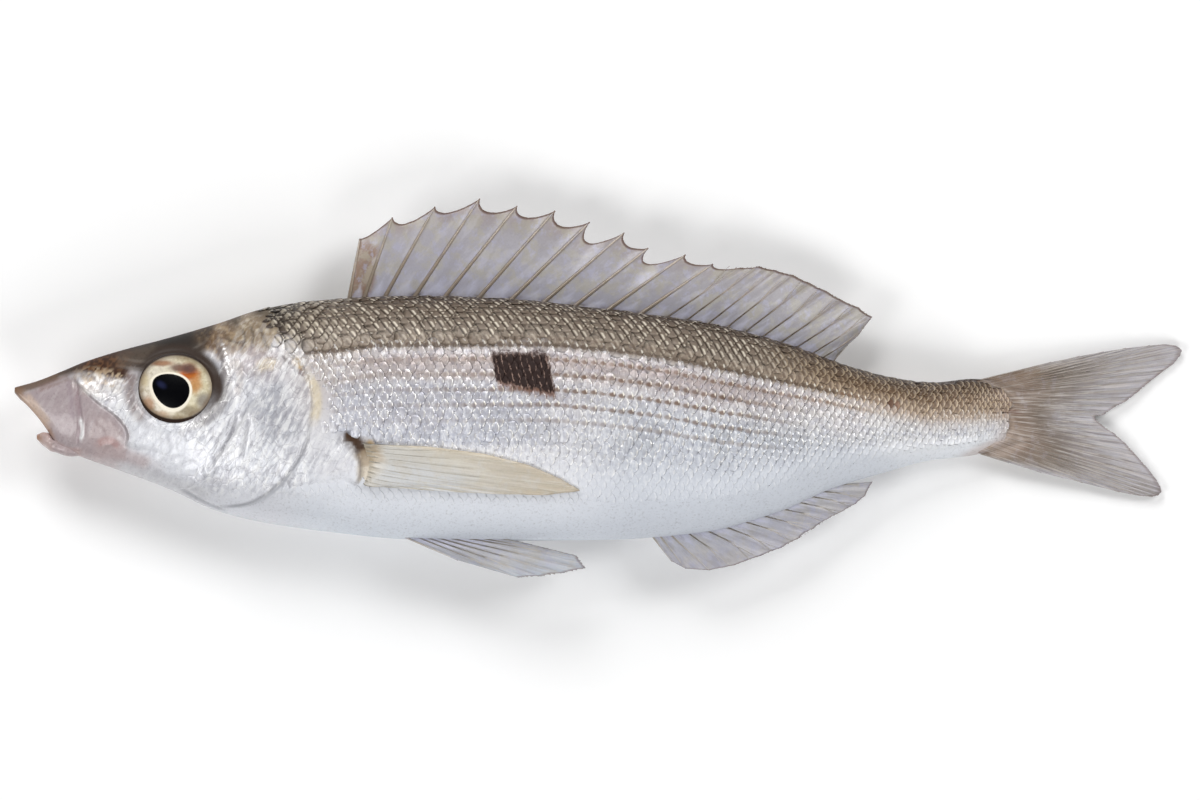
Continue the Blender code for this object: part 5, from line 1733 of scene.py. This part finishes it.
def makeEyeMaterial():
    nodes = Nodes("wetEye", **{"Coat Roughness": 0.04, "Specular IOR Level": 0.07})
    place = nodes.place()
    x, y = nodes.onFish()
    irisX = (x - eyeLook["irisCentre"][0]) / eyeLook["irisRadii"][0]
    irisY = (y - eyeLook["irisCentre"][1]) / eyeLook["irisRadii"][1]
    iris = (irisX * irisX + irisY * irisY) ** 0.5
    # the pupil is an egg whose blunt point looks forward and up
    overX, overY = x - eyeLook["pupilCentre"][0], y - eyeLook["pupilCentre"][1]
    forward = (overY * 0.5 - overX * 0.87) / eyeLook["pupilRadii"][0]
    aside = (overX * 0.5 + overY * 0.87) / (eyeLook["pupilRadii"][1] * (1 - forward * eyeLook["pupilPoint"]))
    pupil = (forward * forward + aside * aside) ** 0.5
    cloud = nodes.noise(place, 0.55, 4.0, 0.6)
    fine = nodes.noise(place, 2.4, 4.0, 0.6)
    wobble = (cloud - 0.5) * 0.5
    behind = nodes.step(irisX + wobble, -0.7, 0.6)
    tone = nodes.mix(behind, nodes.shade(230, 222, 206), nodes.shade(211, 200, 168))
    tone = nodes.tint(tone, nodes.step(cloud, 0.5, 0.62) * 0.55, 240, 234, 210)
    tone = nodes.tint(tone, nodes.step(1 - cloud, 0.52, 0.64) * 0.5, 164, 148, 112)
    # orange and brown behind and above the pupil, brown along the top, grey low at the rear
    for (spotX, spotY), (wide, high), shade, strength in (
        ((26.3, 4.0), (1.9, 1.6), (186, 92, 22), 0.97), ((27.3, 2.4), (1.2, 1.7), (196, 128, 56), 0.7),
        ((25.0, 4.8), (1.9, 0.75), (96, 50, 28), 0.9), ((26.5, 4.7), (1.3, 1.0), (74, 34, 20), 0.85),
        ((22.2, 5.5), (2.3, 0.55), (150, 92, 48), 0.8), ((28.6, -0.2), (1.5, 1.6), (132, 128, 130), 0.7),
        ((26.2, -1.6), (2.0, 0.9), (126, 112, 96), 0.6), ((20.2, -0.6), (1.1, 1.4), (176, 116, 66), 0.65),
        ((22.0, -2.2), (1.6, 0.7), (190, 138, 84), 0.5), ((19.6, 3.0), (0.9, 1.4), (196, 176, 132), 0.6),
    ):
        blotX, blotY = (x - spotX) / wide, (y - spotY) / high
        blot = (blotX * blotX + blotY * blotY) ** 0.5
        tone = nodes.tint(tone, (1 - nodes.step(blot + wobble * 0.9, 0.35, 1.2)) * strength, *shade)
    tone = nodes.tint(tone, (fine - 0.42) * 0.9, 150, 134, 100, blend="MULTIPLY")
    tone = nodes.tint(tone, nodes.step(iris, 0.84, 0.98) * 0.6, 112, 88, 66)
    tone = nodes.tint(tone, nodes.step(iris, 0.965, 1.03), 50, 38, 32)
    # cream ring, wider low in front, then the black pupil with a faint bluish painted reflection
    ring = eyeLook["ringWidth"] * (1.1 + (0 - aside).larger(0.0) * 0.7)
    tone = nodes.tint(tone, 1 - nodes.step(pupil, ring * 0.7 + 1.0, ring * 1.5 + 1.0), 250, 242, 224)
    black = 1 - nodes.step(pupil, 0.975, 1.015)
    # a soft bluish patch over the pupil, a painted reflection of a lamp
    reflectionX, reflectionY = overX + 0.95 + overY * 0.5, overY - 0.75
    paintedReflection = (1 - nodes.step((reflectionX * reflectionX + reflectionY * reflectionY * 1.2) ** 0.5, 0.1, 1.0)) * 0.8
    tone = nodes.mix(black, tone, nodes.mix(paintedReflection, nodes.shade(4, 4, 7), nodes.shade(38, 42, 72)))
    return nodes.finish(Base_Color=tone, Roughness=0.34 + (fine - 0.5) * 0.2,
                        Coat_Weight=0.14 * (1 - black * 0.5), Normal=nodes.bump(fine * 0.01))


def makeEye(name, side, material):
    along, up = (np.array([place]) for place in headForm["eye"])
    centre, above = (placed(*skinPoint(along, up, side, lift).T)[0] for lift in (-headForm["eyeDepth"], 1.0))
    outwards = Vector(above - centre).normalized()
    forward = (Vector((1, 0, 0)) - outwards * outwards.x).normalized()
    turn = Matrix((forward, outwards.cross(forward), outwards)).transposed()
    ball = bmesh.new()
    bmesh.ops.create_uvsphere(ball, u_segments=eyeLook["segments"], v_segments=eyeLook["rings"], radius=1.0)
    bmesh.ops.scale(ball, vec=Vector(headForm["eyeRadii"]) * 0.001, verts=ball.verts)
    bmesh.ops.transform(ball, matrix=Matrix.Translation(centre) @ turn.to_4x4(), verts=ball.verts)
    mesh = bpy.data.meshes.new(name)
    ball.to_mesh(mesh)
    ball.free()
    mesh.materials.append(material)
    mesh.polygons.foreach_set("use_smooth", np.ones(len(mesh.polygons), bool))
    piece = bpy.data.objects.new(name, mesh)
    bpy.context.scene.collection.objects.link(piece)
    return piece


eyeMaterial = makeEyeMaterial()
finishPiece(makeEye("eyeBallLeft", 1, eyeMaterial), "eye_left")
finishPiece(makeEye("eyeBallRight", -1, eyeMaterial), "eye_right")


# The surface, the light and the camera
studio = {
    "floorTone": (0.93, 0.93, 0.93),
    "skyFade": (0.45, 0.92),  # where the sky darkens: 0 is the horizon, 1 is overhead
    "skyLow": 1.0,
    "skyHigh": 0.25,
    "floorGlow": 0.09,
    "cameraHeight": 2.0,
    "cameraAside": 0.00005,
    "lens": 400.0,
    "lights": (  # where each stands, how wide it is, and its power
        ((-0.25, 0.62, 0.62), 0.42, 4.0),
        ((0.50, 0.30, 0.70), 0.36, 2.8),
        ((-0.55, -0.30, 0.6), 0.36, 2.5),
        ((0.25, -0.6, 0.55), 0.40, 2.5),
    ),
}


def makeFloor():
    nodes = Nodes("paleSurface", Roughness=0.85)
    nodes.shader.inputs["Specular IOR Level"].default_value = 0.1
    nodes.shader.inputs["Emission Strength"].default_value = studio["floorGlow"]
    grain = nodes.noise(nodes.place(), 0.05, 2.0)
    tone = nodes.mix(grain * 0.03, (*studio["floorTone"], 1.0), (0.86, 0.86, 0.87, 1.0))
    material = nodes.finish(Base_Color=tone, Emission_Color=tone)
    corners = np.array([(-2.0, -2.0, 0.0), (2.0, -2.0, 0.0), (2.0, 2.0, 0.0), (-2.0, 2.0, 0.0)])
    floor = newMesh("surface", corners, [(0, 1, 2, 3)], material)


def makeLights():
    for number, (spot, width, power) in enumerate(studio["lights"]):
        light = bpy.data.lights.new(f"softLight{number}", "AREA")
        light.size, light.energy = width, power
        lamp = bpy.data.objects.new(light.name, light)
        lamp.location = spot
        lamp.rotation_euler = (-Vector(spot)).to_track_quat("-Z", "Y").to_euler()
        bpy.context.scene.collection.objects.link(lamp)
    # the sky is bright near the horizon and dark overhead, where a camera would stand
    world = bpy.data.worlds.new("studioSky")
    world.use_nodes = True
    tree = world.node_tree
    way = tree.nodes.new("ShaderNodeTexCoord")
    height = tree.nodes.new("ShaderNodeSeparateXYZ")
    fade = tree.nodes.new("ShaderNodeMapRange")
    limits = (*studio["skyFade"], studio["skyLow"], studio["skyHigh"])
    for key, value in zip(("From Min", "From Max", "To Min", "To Max"), limits):
        fade.inputs[key].default_value = value
    tree.links.new(way.outputs["Generated"], height.inputs[0])
    tree.links.new(height.outputs["Z"], fade.inputs["Value"])
    tree.links.new(fade.outputs[0], tree.nodes["Background"].inputs["Strength"])
    bpy.context.scene.world = world


def makeCamera():
    trunkZ = (fishSize["halfWidth"] - fishSize["flatDepth"]) * 0.001
    camera = bpy.data.cameras.new("overTheFish")
    camera.lens, camera.sensor_width, camera.sensor_fit = studio["lens"], 36.0, "HORIZONTAL"
    holder = bpy.data.objects.new("overTheFish", camera)
    holder.location = (studio["cameraAside"], -fishSize["level"] * 0.001, studio["cameraHeight"] + trunkZ)
    bpy.context.scene.collection.objects.link(holder)
    bpy.context.scene.camera = holder


makeFloor()
makeLights()
makeCamera()
bpy.context.scene.view_settings.view_transform = "Standard"
print("surface, light and camera are set")
